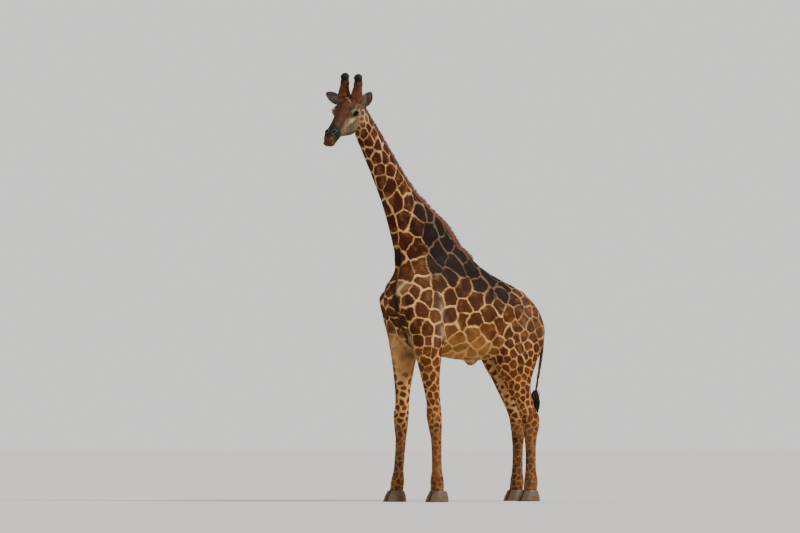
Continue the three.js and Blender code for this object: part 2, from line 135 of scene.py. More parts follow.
def noise(points, span, seed=0):
    """Smooth noise from -1 to 1 with that span between its knots."""
    scaled = points / span
    cell = np.floor(scaled).astype(np.int64)
    part = scaled - cell
    part = part * part * (3 - 2 * part)
    total = np.zeros(len(points))
    for corner in itertools.product((0, 1), repeat=3):
        knot = cell + corner
        value = knot[:, 0] * 73856093 ^ knot[:, 1] * 19349663 ^ knot[:, 2] * 83492791
        value = (value ^ (seed + 1) * 668265263) & 0xFFFFFFFF
        value = ((value ^ (value >> 15)) * 2246822519) & 0xFFFFFFFF
        value = ((value ^ (value >> 13)) * 3266489917) & 0xFFFFFFFF
        weight = np.prod(np.where(corner, part, 1 - part), axis=1)
        total += weight * ((value ^ (value >> 16)) / 0x7FFFFFFF - 1)
    return total


def paint(red, green, blue):
    """A colour in screen numbers, as the linear numbers that a shader takes."""
    share = np.array([red, green, blue]) / 255
    return np.where(share > 0.04045, ((share + 0.055) / 1.055) ** 2.4, share / 12.92)


# ------------------------------------------------------------------ meshes


def mesh_from(name, points, faces):
    """A mesh from an array of points and one array of faces, all with as many corners."""
    mesh = bpy.data.meshes.new(name)
    corners = faces.shape[1]
    mesh.vertices.add(len(points))
    mesh.vertices.foreach_set("co", points.astype(np.float32).ravel())
    mesh.loops.add(faces.size)
    mesh.loops.foreach_set("vertex_index", faces.astype(np.int32).ravel())
    mesh.polygons.add(len(faces))
    mesh.polygons.foreach_set("loop_start", np.arange(0, faces.size, corners, dtype=np.int32))
    mesh.update(calc_edges=True)
    return mesh


def values_of(items, field, width, kind=np.float32):
    """One field of all the items, in rows of that width."""
    values = np.zeros(len(items) * width, kind)
    items.foreach_get(field, values)
    return values.reshape(-1, width)


def points_of(mesh):
    return values_of(mesh.vertices, "co", 3).astype(float)


def normals_of(mesh):
    return values_of(mesh.vertex_normals, "vector", 3).astype(float)


def edges_of(mesh):
    return values_of(mesh.edges, "vertices", 2, np.int32)


def triangles_of(mesh):
    mesh.calc_loop_triangles()
    return values_of(mesh.loop_triangles, "vertices", 3, np.int32)


def move_points(mesh, points):
    mesh.vertices.foreach_set("co", points.astype(np.float32).ravel())
    mesh.update()


def neighbour_mean(values, edges):
    """For each point of a mesh, the mean of the points that edges join to it."""
    total = np.zeros_like(values)
    count = np.bincount(edges.ravel(), minlength=len(values))
    for k in range(values.shape[1]):
        total[:, k] += np.bincount(edges[:, 0], values[edges[:, 1], k], len(values))
        total[:, k] += np.bincount(edges[:, 1], values[edges[:, 0], k], len(values))
    return total / np.maximum(count, 1)[:, None]


def relax(mesh, rounds, pull=0.6, push=-0.62, share=None):
    """Smooths the facets out of a mesh and keeps its bulk."""
    points, edges = points_of(mesh), edges_of(mesh)
    share = 1.0 if share is None else share[:, None]
    for _ in range(rounds):
        points += share * pull * (neighbour_mean(points, edges) - points)
        points += share * push * (neighbour_mean(points, edges) - points)
    move_points(mesh, points)


def smooth(mesh):
    """Shades a mesh without facets."""
    mesh.polygons.foreach_set("use_smooth", [True] * len(mesh.polygons))


def object_of(name, mesh, material):
    """A mesh as an object of the scene, with its material."""
    piece = bpy.data.objects.new(name, mesh)
    bpy.context.scene.collection.objects.link(piece)
    mesh.materials.clear()
    mesh.materials.append(material)
    return piece


def add_colour(mesh, name, colours):
    layer = mesh.attributes.new(name, "FLOAT_COLOR", "POINT")
    packed = np.ones((len(colours), 4), np.float32)
    packed[:, :3] = colours
    layer.data.foreach_set("color", packed.ravel())


def add_number(mesh, name, numbers):
    layer = mesh.attributes.new(name, "FLOAT", "POINT")
    layer.data.foreach_set("value", np.asarray(numbers, np.float32))


def lay_flat(mesh, places):
    """Keeps the flat place of each corner of a mesh, for the maps of its colours."""
    layer = mesh.uv_layers.new(name="OFBake")
    layer.uv.foreach_set("vector", places.reshape(-1, 2).astype(np.float32).ravel())


# ------------------------------------------------------------------ skin

HEAD_FLESH = ["neck", "head", "ear_left", "ear_right", "ossicone_left", "ossicone_right"]
HEAD_FORMS = [*HEAD_FLESH, "eye_left", "eye_right"]
LEG_FLESH = ["foreleg_left", "foreleg_right", "hindleg_left", "hindleg_right"]
BODY_FLESH = ["trunk", "neck", "head", "tail", "sheath", *LEG_FLESH]
FLESH = sorted({*HEAD_FLESH, *BODY_FLESH})
JOIN = 0.0012
EAR_GROWTH = 0.0034
SEAM = 0.005
LEG_PLANE = (np.array([0, 0, 1.02]), np.array([0, 0, 1.0]))
NECK_PLANE = (on_body([0, -1.31, 4.47]), unit([0, -0.514, 0.857]))
FEWEST_IN_RIM = 8
# Zones of the skin: parts, size of the squares, rounds of smoothing, and the cuts.
ZONES = (
    (LEG_FLESH, 0.0135, 12, ((LEG_PLANE, -1),)),
    (BODY_FLESH, 0.0225, 12, ((LEG_PLANE, 1), (NECK_PLANE, -1))),
    (HEAD_FORMS, 0.0065, 32, ((NECK_PLANE, 1),)),
)


def grown(names, margin=JOIN):
    """One mesh holding these CAD nodes, each grown a little so that they run together."""
    shape = bmesh.new()
    for name in names:
        part = bmesh.new()
        part.from_mesh(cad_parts[name].data)
        bmesh.ops.remove_doubles(part, verts=part.verts, dist=1e-5)
        part.normal_update()
        growth = EAR_GROWTH if name.startswith("ear") else margin
        for vertex in part.verts:
            vertex.co += vertex.normal * growth
        scratch = bpy.data.meshes.new("part")
        part.to_mesh(scratch)
        part.free()
        shape.from_mesh(scratch)
    mesh = bpy.data.meshes.new("grown")
    shape.to_mesh(mesh)
    shape.free()
    return mesh


def remeshed(mesh, cell):
    """The outer surface of a mesh in even squares of that size."""
    holder = bpy.data.objects.new("holder", mesh)
    bpy.context.scene.collection.objects.link(holder)
    step = holder.modifiers.new("even", "REMESH")
    step.mode = "VOXEL"
    step.voxel_size = cell
    evaluated = holder.evaluated_get(bpy.context.evaluated_depsgraph_get())
    surface = bpy.data.meshes.new_from_object(evaluated)
    bpy.data.objects.remove(holder)
    return surface


def cut(mesh, plane, side, cell):
    """The part of a mesh on one side of a plane, open where it was cut."""
    point, facing = plane
    shape = bmesh.new()
    shape.from_mesh(mesh)
    bmesh.ops.bisect_plane(
        shape,
        geom=shape.verts[:] + shape.edges[:] + shape.faces[:],
        plane_co=point + facing * side * SEAM,
        plane_no=-facing * side,
        clear_outer=True,
    )
    rim = [vertex for vertex in shape.verts if vertex.is_boundary]
    bmesh.ops.remove_doubles(shape, verts=rim, dist=cell * 0.4)
    part = bpy.data.meshes.new("part")
    shape.to_mesh(part)
    shape.free()
    return part


def walked(left, allowed):
    """Takes the last vertex from left and all that allowed edges join to it."""
    found, queue = [], [left.popitem()[0]]
    while queue:
        vertex = queue.pop()
        found.append(vertex)
        for edge in vertex.link_edges:
            other = edge.other_vert(vertex)
            if allowed(edge) and other in left:
                del left[other]
                queue.append(other)
    return found


def rims_at(shape, plane, side):
    """The open rims on one side of a plane: middle, vertices in order, and turn of each."""
    point, facing = Vector(plane[0]), Vector(plane[1])
    across = facing.cross(Vector((1, 0, 0))).normalized()
    level = {v: (v.co - point).dot(facing) for v in shape.verts if v.is_boundary}
    left = dict.fromkeys(v for v, height in level.items() if abs(height - side * SEAM) < SEAM / 2)
    rims = []
    while left:
        found = walked(left, lambda edge: edge.is_boundary)
        middle = sum((v.co for v in found), Vector()) / len(found)
        turn = {v: math.atan2((v.co - middle).dot(across), v.co.x - middle.x) for v in found}
        if len(found) > FEWEST_IN_RIM:
            rims.append((middle, sorted(found, key=turn.get), turn))
    return rims


def stitch(shape, plane):
    """Closes the narrow gap that the zones leave along a plane."""
    others = rims_at(shape, plane, 1)
    for middle, below, turn in rims_at(shape, plane, -1):
        _, above, other_turn = min(others, key=lambda rim: (rim[0] - middle).length)
        i = j = 0
        while i < len(below) or j < len(above):
            next_below = turn[below[i + 1]] if i + 1 < len(below) else 10 + i
            next_above = other_turn[above[j + 1]] if j + 1 < len(above) else 10 + j
            first, second = below[i % len(below)], above[j % len(above)]
            if j >= len(above) or i < len(below) and next_below <= next_above:
                i += 1
                third = below[i % len(below)]
            else:
                j += 1
                third = above[j % len(above)]
            shape.faces.new((first, third, second))


def drop_loose_parts(shape):
    """Keeps only the largest connected part."""
    left, parts = dict.fromkeys(shape.verts), []
    while left:
        parts.append(walked(left, lambda edge: True))
    keep = set(max(parts, key=len))
    loose = [vertex for vertex in shape.verts if vertex not in keep]
    bmesh.ops.delete(shape, geom=loose, context="VERTS")


def refine(shape):
    """Halves the skin's squares round the eyes, nostrils and mouth, and on the tail."""
    tail = [vertex.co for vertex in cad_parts["tail"].data.vertices if vertex.co.z < TAIL_ROOT]
    for places, reach in (*FINE_PLACES, (tail, FINE_ON_TAIL)):
        tree = kd_tree(places)
        faces = [face for face in shape.faces if tree.find(face.calc_center_median())[2] < reach]
        edges = list(dict.fromkeys(edge for face in faces for edge in face.edges))
        bmesh.ops.subdivide_edges(shape, edges=edges, cuts=1, use_grid_fill=True)


def skin_mesh():
    """One closed surface over all the flesh, finest on the head and next on the lower legs."""
    shape = bmesh.new()
    for nodes, cell, rounds, cuts in ZONES:
        surface = remeshed(grown(nodes), cell)
        relax(surface, rounds)
        for plane, side in cuts:
            surface = cut(surface, plane, side, cell)
        shape.from_mesh(surface)
    stitch(shape, LEG_PLANE)
    stitch(shape, NECK_PLANE)
    drop_loose_parts(shape)
    refine(shape)
    bmesh.ops.recalc_face_normals(shape, faces=shape.faces)
    mesh = bpy.data.meshes.new("skin")
    shape.to_mesh(mesh)
    shape.free()
    smooth(mesh)
    return mesh


def nearest_nodes(points, names):
    """For each point, which of these CAD nodes is nearest, as a number."""
    corners, triangles, owner = [], [], []
    for number, name in enumerate(names):
        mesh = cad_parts[name].data
        start = len(corners)
        corners.extend(vertex.co.copy() for vertex in mesh.vertices)
        triangles.extend(tuple(start + k for k in polygon.vertices) for polygon in mesh.polygons)
        owner.extend([number] * len(mesh.polygons))
    tree = BVHTree.FromPolygons(corners, triangles)
    return np.array([owner[tree.find_nearest(point)[2]] for point in points])


def softened(values, edges, rounds):
    """Values on the points of a mesh, spread into their neighbours."""
    for _ in range(rounds):
        values = 0.5 * values + 0.5 * neighbour_mean(values, edges)
    return values


def node_tree(name):
    """A CAD node as a tree for nearest points and rays."""
    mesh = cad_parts[name].data
    places = [vertex.co.copy() for vertex in mesh.vertices]
    return BVHTree.FromPolygons(places, [tuple(polygon.vertices) for polygon in mesh.polygons])


def kd_tree(places):
    tree = KDTree(len(places))
    for number, place in enumerate(places):
        tree.insert(place, number)
    tree.balance()
    return tree


TAIL_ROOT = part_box("tail")[1].z - 0.10
NOSTRIL = (0.037, 0.700, 0.040)
MOUTH = (
    (0.0, 0.768, -0.047), (0.034, 0.758, -0.043), (0.047, 0.735, -0.041),
    (0.050, 0.670, -0.050), (0.051, 0.600, -0.067), (0.056, 0.560, -0.076),
)
EYE_MIDDLES = [middle_of("eye_left"), middle_of("eye_right")]
NOSTRIL_MIDDLES = [on_head(place) for place in both(NOSTRIL)]
LIP_COURSE = [
    on_head(spot)
    for start, end in zip(MOUTH[:-1], MOUTH[1:])
    for share in (0, 0.25, 0.5, 0.75)
    for spot in both(np.array(start) * (1 - share) + np.array(end) * share)
]
FINE_PLACES = (
    (EYE_MIDDLES, 0.062),
    (EYE_MIDDLES, 0.044),
    (NOSTRIL_MIDDLES, 0.048),
    (NOSTRIL_MIDDLES, 0.036),
    (LIP_COURSE, 0.017),
)
FINE_ON_TAIL = 0.016

skin = skin_mesh()

# The share of each part in each point of the skin, fading into its neighbours.
LINKS = edges_of(skin)
OWNER = nearest_nodes(points_of(skin), FLESH)
SHARE = dict(zip(FLESH, softened(np.eye(len(FLESH))[OWNER], LINKS, 8).T))


def part_share(*names):
    """How much of each point of the skin belongs to these parts together."""
    return sum(SHARE[name] for name in names)


def bell(offset):
    return np.exp(-2 * (offset**2).sum(1))


def swell(points, place, reach):
    """1 at a place, fading to nothing at about its reach."""
    return bell((points - place) / np.asarray(reach))


def mirrored(points):
    """The same places, all brought to the left side."""
    return np.column_stack([np.abs(points[:, 0]), points[:, 1:]])


def horn_feet(local, reach):
    """Near 1 round the feet of both horns."""
    return sum(swell(local, place, reach) for place in both(HORN_FOOT))


HORNS = ("ossicone_left", "ossicone_right")
HORN = part_share(*HORNS)
KNOB_FOOT = 0.328
EARS = ("ear_left", "ear_right")
EAR_OPENING = unit(0.85 * HEAD_FORWARD + 0.10 * HEAD_UP)
LIE_OF_EAR = {
    "ear_left": unit(0.54 * HEAD_LEFT - 0.24 * HEAD_FORWARD + 0.81 * HEAD_UP),
    "ear_right": unit(-0.91 * HEAD_LEFT - 0.30 * HEAD_FORWARD + 0.27 * HEAD_UP),
}
CHIN_NOTCH = (0.0, 0.772, -0.064)
CHIN_REACH = (0.075, 0.034, 0.034)
HORN_FOOT = (0.102, 0.096, 0.072)
HORN_FOOT_REACH = (0.070, 0.080, 0.050)
HORN_FOOT_TOP = 0.150
# Parts that run into each other, and the rounds of smoothing where they meet.
FILLETS = (
    (HORNS, ("head",), 44),
    (EARS, ("head",), 14),
    (("neck",), ("head",), 26),
    (("neck",), ("trunk",), 14),
    (tuple(LEG_FLESH), ("trunk",), 5),
    (("tail",), ("trunk",), 10),
)
# How far the skin is drawn in, so that the coat ends where the solids do.
COAT_DEPTH = {
    "trunk": 0.0042, "neck": 0.0040, "sheath": 0.0020, "tail": 0.0022, "head": 0.0018,
    **{name: 0.0030 for name in LEG_FLESH},
    **{name: 0.0022 for name in HORNS},
    **{name: 0.0014 + EAR_GROWTH for name in EARS},
}


def tail_fitted(points):
    """Sets the skin of the tail back onto its solid, which the wide squares blur."""
    tree = node_tree("tail")
    for k in np.flatnonzero((OWNER == FLESH.index("tail")) & (points[:, 2] < TAIL_ROOT)):
        place, normal, _, _ = tree.find_nearest(points[k])
        points[k] = place + normal * JOIN
    return points


def fitted_skin(mesh):
    """Rounds the joints between the parts and draws the skin in by the depth of the coat."""
    move_points(mesh, tail_fitted(points_of(mesh)))
    for first, second, rounds in FILLETS:
        share = np.clip(5 * part_share(*first) * part_share(*second), 0, 1)
        relax(mesh, rounds, push=0, share=share)
    local = to_head(points_of(mesh))
    foot = np.clip(2.2 * horn_feet(local, HORN_FOOT_REACH), 0, 1) * (local[:, 2] < HORN_FOOT_TOP)
    relax(mesh, 90, push=0, share=foot)
    relax(mesh, 60, push=0, share=np.clip(2.5 * swell(local, CHIN_NOTCH, CHIN_REACH), 0, 1))
    depth = sum(SHARE[name] * COAT_DEPTH[name] for name in FLESH)
    move_points(mesh, points_of(mesh) - normals_of(mesh) * depth[:, None])


fitted_skin(skin)

# ------------------------------------------------------------------ carving

# Each swelling or hollow: place, reach along x, y and z, height. Body axes; the left side
# is given and the right mirrors it.
BODY_FORMS = {
    "point of shoulder": ((0.27, -0.86, 2.46), (0.09, 0.10, 0.12), 0.030),
    "hollow before shoulder": ((0.21, -0.90, 2.74), (0.10, 0.09, 0.12), -0.022),
    "upper arm": ((0.34, -0.66, 2.25), (0.14, 0.14, 0.22), 0.020),
    "elbow": ((0.34, -0.44, 2.02), (0.10, 0.07, 0.09), 0.020),
    "hollow behind shoulder": ((0.33, -0.33, 2.62), (0.16, 0.10, 0.26), -0.014),
    "hip bone": ((0.23, 0.52, 2.63), (0.08, 0.07, 0.07), 0.030),
    "hollow of flank": ((0.33, 0.36, 2.50), (0.14, 0.10, 0.14), -0.026),
    "haunch": ((0.32, 0.75, 2.30), (0.16, 0.20, 0.22), 0.014),
    "seat bone": ((0.10, 1.16, 2.36), (0.07, 0.07, 0.08), 0.018),
    "stifle": ((0.34, 0.42, 1.92), (0.10, 0.08, 0.12), 0.018),
    "brisket": ((0.0, -0.84, 2.10), (0.12, 0.12, 0.14), 0.014),
}
# Each ridge or groove: its course, half its width, height.
BODY_LINES = {
    "furrow of chest, high": (
        ((0.030, -0.868, 3.05), (0.035, -0.860, 2.80), (0.050, -0.965, 2.58)),
        0.040, -0.018,
    ),
    "furrow of chest, low": (
        ((0.055, -0.972, 2.42), (0.050, -0.900, 2.19), (0.030, -0.745, 1.97)),
        0.042, -0.020,
    ),
    "spine of shoulder blade": (
        ((0.29, -0.80, 2.52), (0.33, -0.64, 2.78), (0.26, -0.44, 3.02)),
        0.040, 0.010,
    ),
    "fore edge of shoulder": (
        ((0.20, -0.66, 3.00), (0.24, -0.82, 2.72), (0.24, -0.92, 2.50)),
        0.030, -0.014,
    ),
    "fold behind elbow": (
        ((0.36, -0.40, 2.48), (0.37, -0.40, 2.20), (0.35, -0.42, 1.96)),
        0.026, 0.020,
    ),
    "groove behind elbow": (
        ((0.36, -0.32, 2.45), (0.37, -0.32, 2.20), (0.34, -0.33, 1.92)),
        0.030, -0.014,
    ),
    "fore edge of thigh": (
        ((0.27, 0.52, 2.55), (0.33, 0.42, 2.25), (0.34, 0.38, 1.95)),
        0.036, 0.016,
    ),
    "flank fold": (((0.30, 0.44, 2.45), (0.35, 0.32, 2.20), (0.34, 0.26, 1.92)), 0.034, -0.016),
    "groove of thigh": (
        ((0.24, 1.02, 2.35), (0.30, 0.98, 2.05), (0.26, 0.98, 1.72)),
        0.034, -0.010,
    ),
    "jugular groove": (
        ((0.12, -1.28, 4.25), (0.13, -1.08, 3.75), (0.15, -0.93, 3.25), (0.18, -0.88, 2.95)),
        0.034, -0.011,
    ),
    "neck muscle": (
        ((0.14, -1.10, 4.15), (0.16, -0.86, 3.70), (0.21, -0.66, 3.25), (0.27, -0.62, 2.90)),
        0.050, 0.008,
    ),
}
FORM_DEPTH, LINE_DEPTH = 1.3, 1.9
RIBS, FIRST_RIB, RIB_GAP = 9, -0.22, 0.085
RIB_HEIGHT, RIB_WIDTH = 0.0065, 0.022


def along(points, course, width):
    """1 on a course of straight stretches, fading to 0 at about twice the width."""
    best = np.full(len(points), 1e9)
    for start, end in zip(course[:-1], course[1:]):
        start, end = np.array(start), np.array(end)
        run = end - start
        share = np.clip((points - start) @ run / (run @ run), 0, 1)
        gap = points - start - share[:, None] * run
        best = np.minimum(best, (gap**2).sum(1))
    return np.exp(-best / (width * width))


def body_relief(points):
    """How far the body's skin stands out along its normal."""
    sided = mirrored(to_body(points))
    height = np.zeros(len(points))
    for place, reach, rise_by in BODY_FORMS.values():
        height += FORM_DEPTH * rise_by * swell(sided, place, reach)
    for course, width, rise_by in BODY_LINES.values():
        height += LINE_DEPTH * rise_by * along(sided, course, width)
    for rib in range(RIBS):
        y = FIRST_RIB + RIB_GAP * rib
        course = ((0.20, y, 2.92 - 0.03 * rib), (0.34, y + 0.05, 2.45), (0.30, y + 0.12, 1.95))
        height += RIB_HEIGHT * along(sided, course, RIB_WIDTH)
    return height


# The same for the head, on its own axes.
HEAD_SWELLS = {
    "temple": ((0.115, 0.165, 0.075), (0.05, 0.045, 0.035), -0.008),
    "jaw muscle": ((0.115, 0.150, -0.110), (0.06, 0.10, 0.10), 0.010),
    "hollow of cheek": ((0.085, 0.425, -0.075), (0.05, 0.10, 0.040), -0.010),
    "hollow over cheek": ((0.080, 0.430, 0.050), (0.05, 0.10, 0.028), -0.008),
    "pit before eye": ((0.112, 0.335, 0.030), (0.04, 0.035, 0.024), -0.004),
    "upper lip": ((0.035, 0.770, -0.020), (0.05, 0.040, 0.030), 0.001),
    "chin": ((0.0, 0.735, -0.110), (0.07, 0.050, 0.040), 0.007),
    "lips in front": ((0.025, 0.772, -0.058), (0.055, 0.036, 0.024), 0.016),
    "crest between horns": ((0.0, 0.070, 0.150), (0.080, 0.090, 0.090), 0.062),
    "horn root": ((0.100, 0.096, 0.095), (0.075, 0.075, 0.085), 0.015),
    "forehead": ((0.0, 0.205, 0.165), (0.075, 0.085, 0.070), 0.024),
    "nostril wing": ((0.046, 0.690, 0.044), (0.034, 0.050, 0.034), 0.004),
}
HEAD_LINES = {
    "brow": (((0.112, 0.200, 0.096), (0.130, 0.258, 0.098), (0.112, 0.318, 0.082)), 0.013, 0.010),
    "cheekbone": (
        ((0.122, 0.290, -0.004), (0.134, 0.200, -0.004), (0.118, 0.090, 0.010)),
        0.018, 0.008,
    ),
    "face crest": (
        ((0.122, 0.300, -0.010), (0.095, 0.420, -0.022), (0.078, 0.540, -0.028)),
        0.015, 0.007,
    ),
    "bridge": (((0.0, 0.330, 0.150), (0.0, 0.480, 0.110), (0.0, 0.620, 0.075)), 0.030, 0.005),
    "jaw edge": (
        ((0.085, 0.080, -0.215), (0.090, 0.200, -0.235), (0.070, 0.330, -0.200)),
        0.024, 0.006,
    ),
    "under the jaw": (
        ((0.0, 0.120, -0.262), (0.0, 0.330, -0.225), (0.0, 0.470, -0.160)),
        0.028, -0.010,
    ),
    "mouth": (MOUTH, 0.0055, -0.0075),
    "lip over mouth": (tuple((x, y, z + 0.014) for x, y, z in MOUTH), 0.008, 0.005),
    "lip under mouth": (tuple((x, y, z - 0.014) for x, y, z in MOUTH), 0.008, 0.005),
    "fold by mouth": (
        ((0.068, 0.600, -0.030), (0.074, 0.560, -0.060), (0.066, 0.545, -0.095)),
        0.009, 0.004,
    ),
}


def head_relief(points):
    """How far the head's skin stands out along its normal."""
    sided = mirrored(to_head(points))
    height = np.zeros(len(points))
    for place, reach, rise_by in HEAD_SWELLS.values():
        height += rise_by * swell(sided, place, reach)
    for course, width, rise_by in HEAD_LINES.values():
        height += rise_by * along(sided, course, width)
    return height * SHARE_OF_HEAD


# How far the horns' shafts stand out at each height: all round, and more inwards and forwards.
SHAFT_UP = (0.09, 0.13, 0.17, 0.22, 0.26, 0.30, 0.325, 0.345)
SHAFT_ROUND = (0.000, 0.002, 0.006, 0.010, 0.008, -0.001, -0.006, 0.000)
SHAFT_IN = (0.008, 0.020, 0.020, 0.008, 0.002, 0.000, 0.000, 0.000)
SHAFT_FORE = (0.000, 0.012, 0.016, 0.008, 0.000, 0.000, 0.000, 0.000)


def horn_relief(points, normals):
    """Spreads the shafts towards their feet and narrows them under the knobs."""
    local = to_head(points)
    inner = np.clip(-(normals @ HEAD_LEFT) * np.sign(local[:, 0]), 0, 1)
    fore = np.clip(normals @ HEAD_FORWARD, 0, 1)
    out = np.interp(local[:, 2], SHAFT_UP, SHAFT_ROUND)
    out += inner * np.interp(local[:, 2], SHAFT_UP, SHAFT_IN)
    out += fore * np.interp(local[:, 2], SHAFT_UP, SHAFT_FORE)
    return HORN * out


# Forms of the lower legs: height over the floor, turn from the front, reach up and round, height.
LEG_FORMS = {
    "foreleg": (
        (1.10, 0, 0.10, 0.9, 0.009), (1.16, 180, 0.05, 0.6, 0.010), (0.96, 180, 0.06, 0.6, -0.004),
        (0.27, 180, 0.07, 0.8, 0.008), (0.28, 0, 0.07, 0.9, 0.004), (0.17, 0, 0.05, 0.9, -0.003),
    ),
    "hindleg": (
        (1.24, 180, 0.06, 0.5, 0.008), (1.12, 0, 0.10, 0.8, 0.006), (1.02, 90, 0.08, 0.6, 0.005),
        (1.02, 270, 0.08, 0.6, 0.005), (0.27, 180, 0.07, 0.8, 0.008), (0.28, 0, 0.07, 0.9, 0.004),
    ),
}
TENDON_TOP, TENDON_FOOT, TENDON_DEPTH = 0.98, 0.30, 0.0045
TENDON_TURNS = (118, 242)
LOW_LEG_TOP, LEG_SLICE = 1.5, 0.05


def turns_round(leg):
    """The turn of each point round its leg, in degrees from the front."""
    level = (leg[:, 2] / LEG_SLICE).astype(int)
    count = np.maximum(np.bincount(level), 1)
    middle = np.column_stack([np.bincount(level, leg[:, k]) / count for k in (0, 1)])
    steps = np.arange(len(count)) * LEG_SLICE + LEG_SLICE / 2
    x = leg[:, 0] - np.interp(leg[:, 2], steps, middle[:, 0])
    y = leg[:, 1] - np.interp(leg[:, 2], steps, middle[:, 1])
    return np.degrees(np.arctan2(x * np.sign(middle[:, 0].mean()), -y)) % 360


def turned_from(turn, facing):
    """How far a turn is from a facing, in radians, either way."""
    return np.radians((turn - facing + 180) % 360 - 180)


def leg_relief(points):
    """Knees, hocks, fetlocks, and the groove between the shin bone and the tendon."""
    height = np.zeros(len(points))
    for name in LEG_FLESH:
        mine = np.flatnonzero((OWNER == FLESH.index(name)) & (points[:, 2] < LOW_LEG_TOP))
        z = points[mine, 2]
        turn = turns_round(points[mine])
        for at, facing, reach_up, reach_round, rise_by in LEG_FORMS[name.split("_")[0]]:
            round_by = turned_from(turn, facing) / reach_round
            height[mine] += rise_by * np.exp(-((z - at) / reach_up) ** 2 - round_by**2)
        span = rise(z, TENDON_FOOT, TENDON_FOOT + 0.12) * (1 - rise(z, TENDON_TOP - 0.12, TENDON_TOP))
        for groove in TENDON_TURNS:
            height[mine] -= TENDON_DEPTH * span * np.exp(-((turned_from(turn, groove) / 0.30) ** 2))
    return height


SHARE_OF_HEAD = np.clip(SHARE["head"] * 1.3, 0, 1)
HAND = {"left": 1, "right": -1}
GAZE = {}
for side, hand in HAND.items():
    gaze = unit(0.82 * hand * HEAD_LEFT + 0.56 * HEAD_FORWARD + 0.12 * HEAD_UP)
    level = unit(np.cross(HEAD_UP, gaze))
    GAZE[side] = np.array([level, np.cross(gaze, level), gaze])

LID_ACROSS, LID_OVER, LID_UNDER = 0.95, 0.62, 0.54
LID_TILT = math.radians(10)
FAR_OFF = 9


def eye_view(points, side):
    """Places from the middle of an eye, in radii: towards the front of the face, up, out."""
    seen = (points - middle_of(f"eye_{side}")) @ GAZE[side].T / EYE_RADIUS
    return seen * np.array([HAND[side], 1, 1])


def lid_ring(seen):
    """1 on the edge of the lids, less inside the opening and more outside."""
    turned_x = seen[:, 0] * math.cos(LID_TILT) - seen[:, 1] * math.sin(LID_TILT)
    turned_y = seen[:, 0] * math.sin(LID_TILT) + seen[:, 1] * math.cos(LID_TILT)
    high = np.where(turned_y > 0, LID_OVER, LID_UNDER)
    ring = np.hypot(turned_x / LID_ACROSS, turned_y / high)
    return np.where(seen[:, 2] > 0, ring, FAR_OFF)


def set_lids(points, side):
    """Lays the skin over the eyeball and opens it between the lids."""
    centre = middle_of(f"eye_{side}")
    seen = eye_view(points, side)
    ring = lid_ring(seen)
    far = np.linalg.norm(points - centre, axis=1) / EYE_RADIUS
    near = (far < 2.2) & (seen[:, 2] > 0)
    away = (points - centre) / (far * EYE_RADIUS)[:, None]
    upper = rise(seen[:, 1], -0.1, 0.3)
    crease = 0.07 * np.exp(-(((ring - 1.62) / 0.13) ** 2)) * (0.4 + 0.6 * upper)
    thick = 1.07 + 0.06 * upper + 0.09 * rise(ring, 1.05, 1.45) - crease
    target = np.where(ring < 1, 0.86, thick)
    hold = np.where(ring < 1.1, 1.0, 1 - rise(ring, 1.35, 2.2))
    pull = np.where(near, hold, 0)[:, None]
    moved = points + pull * (away * (target - far)[:, None] * EYE_RADIUS)
    on_rim = near & (ring > 0.84) & (ring < 1.06)
    moved[on_rim] = rim_of_lid(seen[on_rim], ring[on_rim], centre, side)
    return moved


def rim_of_lid(seen, ring, centre, side):
    """The places on the very edge of the lids, straight out from these."""
    flat = seen[:, :2] / ring[:, None]
    out = np.sqrt(np.clip(1.035**2 - (flat**2).sum(1), 0.05, 2))
    spot = np.column_stack([flat[:, 0] * HAND[side], flat[:, 1], out])
    return centre + EYE_RADIUS * spot @ GAZE[side]


NOSTRIL_OUT = unit([0.50, 0.34, 0.80])
NOSTRIL_ALONG = unit(np.cross(np.cross(NOSTRIL_OUT, [0.255, -0.937, 0.239]), NOSTRIL_OUT))
NOSTRIL_ACROSS = np.cross(NOSTRIL_OUT, NOSTRIL_ALONG)
NOSTRIL_LONG, NOSTRIL_WIDE, NOSTRIL_DEEP = 0.031, 0.0135, 0.026


def nostril_ring(local):
    """1 on the edge of a nostril, less inside it."""
    sided = mirrored(local) - np.array(NOSTRIL)
    span, across, out = sided @ NOSTRIL_ALONG, sided @ NOSTRIL_ACROSS, sided @ NOSTRIL_OUT
    bowed = across - 0.30 * (span**2) / NOSTRIL_LONG
    ring = np.hypot(span / NOSTRIL_LONG, bowed / NOSTRIL_WIDE)
    return np.where(np.abs(out) < 0.035, ring, FAR_OFF)


def set_nostrils(points):
    """Opens the nostrils as slits with a raised edge."""
    local = to_head(points)
    ring = nostril_ring(local)
    hand = np.where(local[:, 0] >= 0, 1, -1)
    out = NOSTRIL_OUT[None] * np.column_stack([hand, np.ones(len(points)), np.ones(len(points))])
    depth = np.where(ring < 1, -NOSTRIL_DEEP * np.sqrt(np.clip(1 - ring, 0, 1)), 0)
    edge = 0.0048 * np.exp(-(((ring - 1.35) / 0.42) ** 2)) * (ring >= 1)
    return points + HEAD_SIZE * ((depth + edge)[:, None] * out) @ HEAD_AXES


CHIN_SHIFT, CHIN_WIDER, CHIN_UP = 0.042, 0.014, 0.022
EAR_WIDER = 0.16
SHEATH_DEPTH = 0.020


def ears_wider(points):
    """Spreads the ears across their length."""
    moved = points.copy()
    for name in EARS:
        across = unit(np.cross(LIE_OF_EAR[name], EAR_OPENING))
        middle = points[SHARE[name] > 0.9].mean(0)
        reach = (points - middle) @ across
        moved += (EAR_WIDER * SHARE[name] * reach)[:, None] * across
    return moved


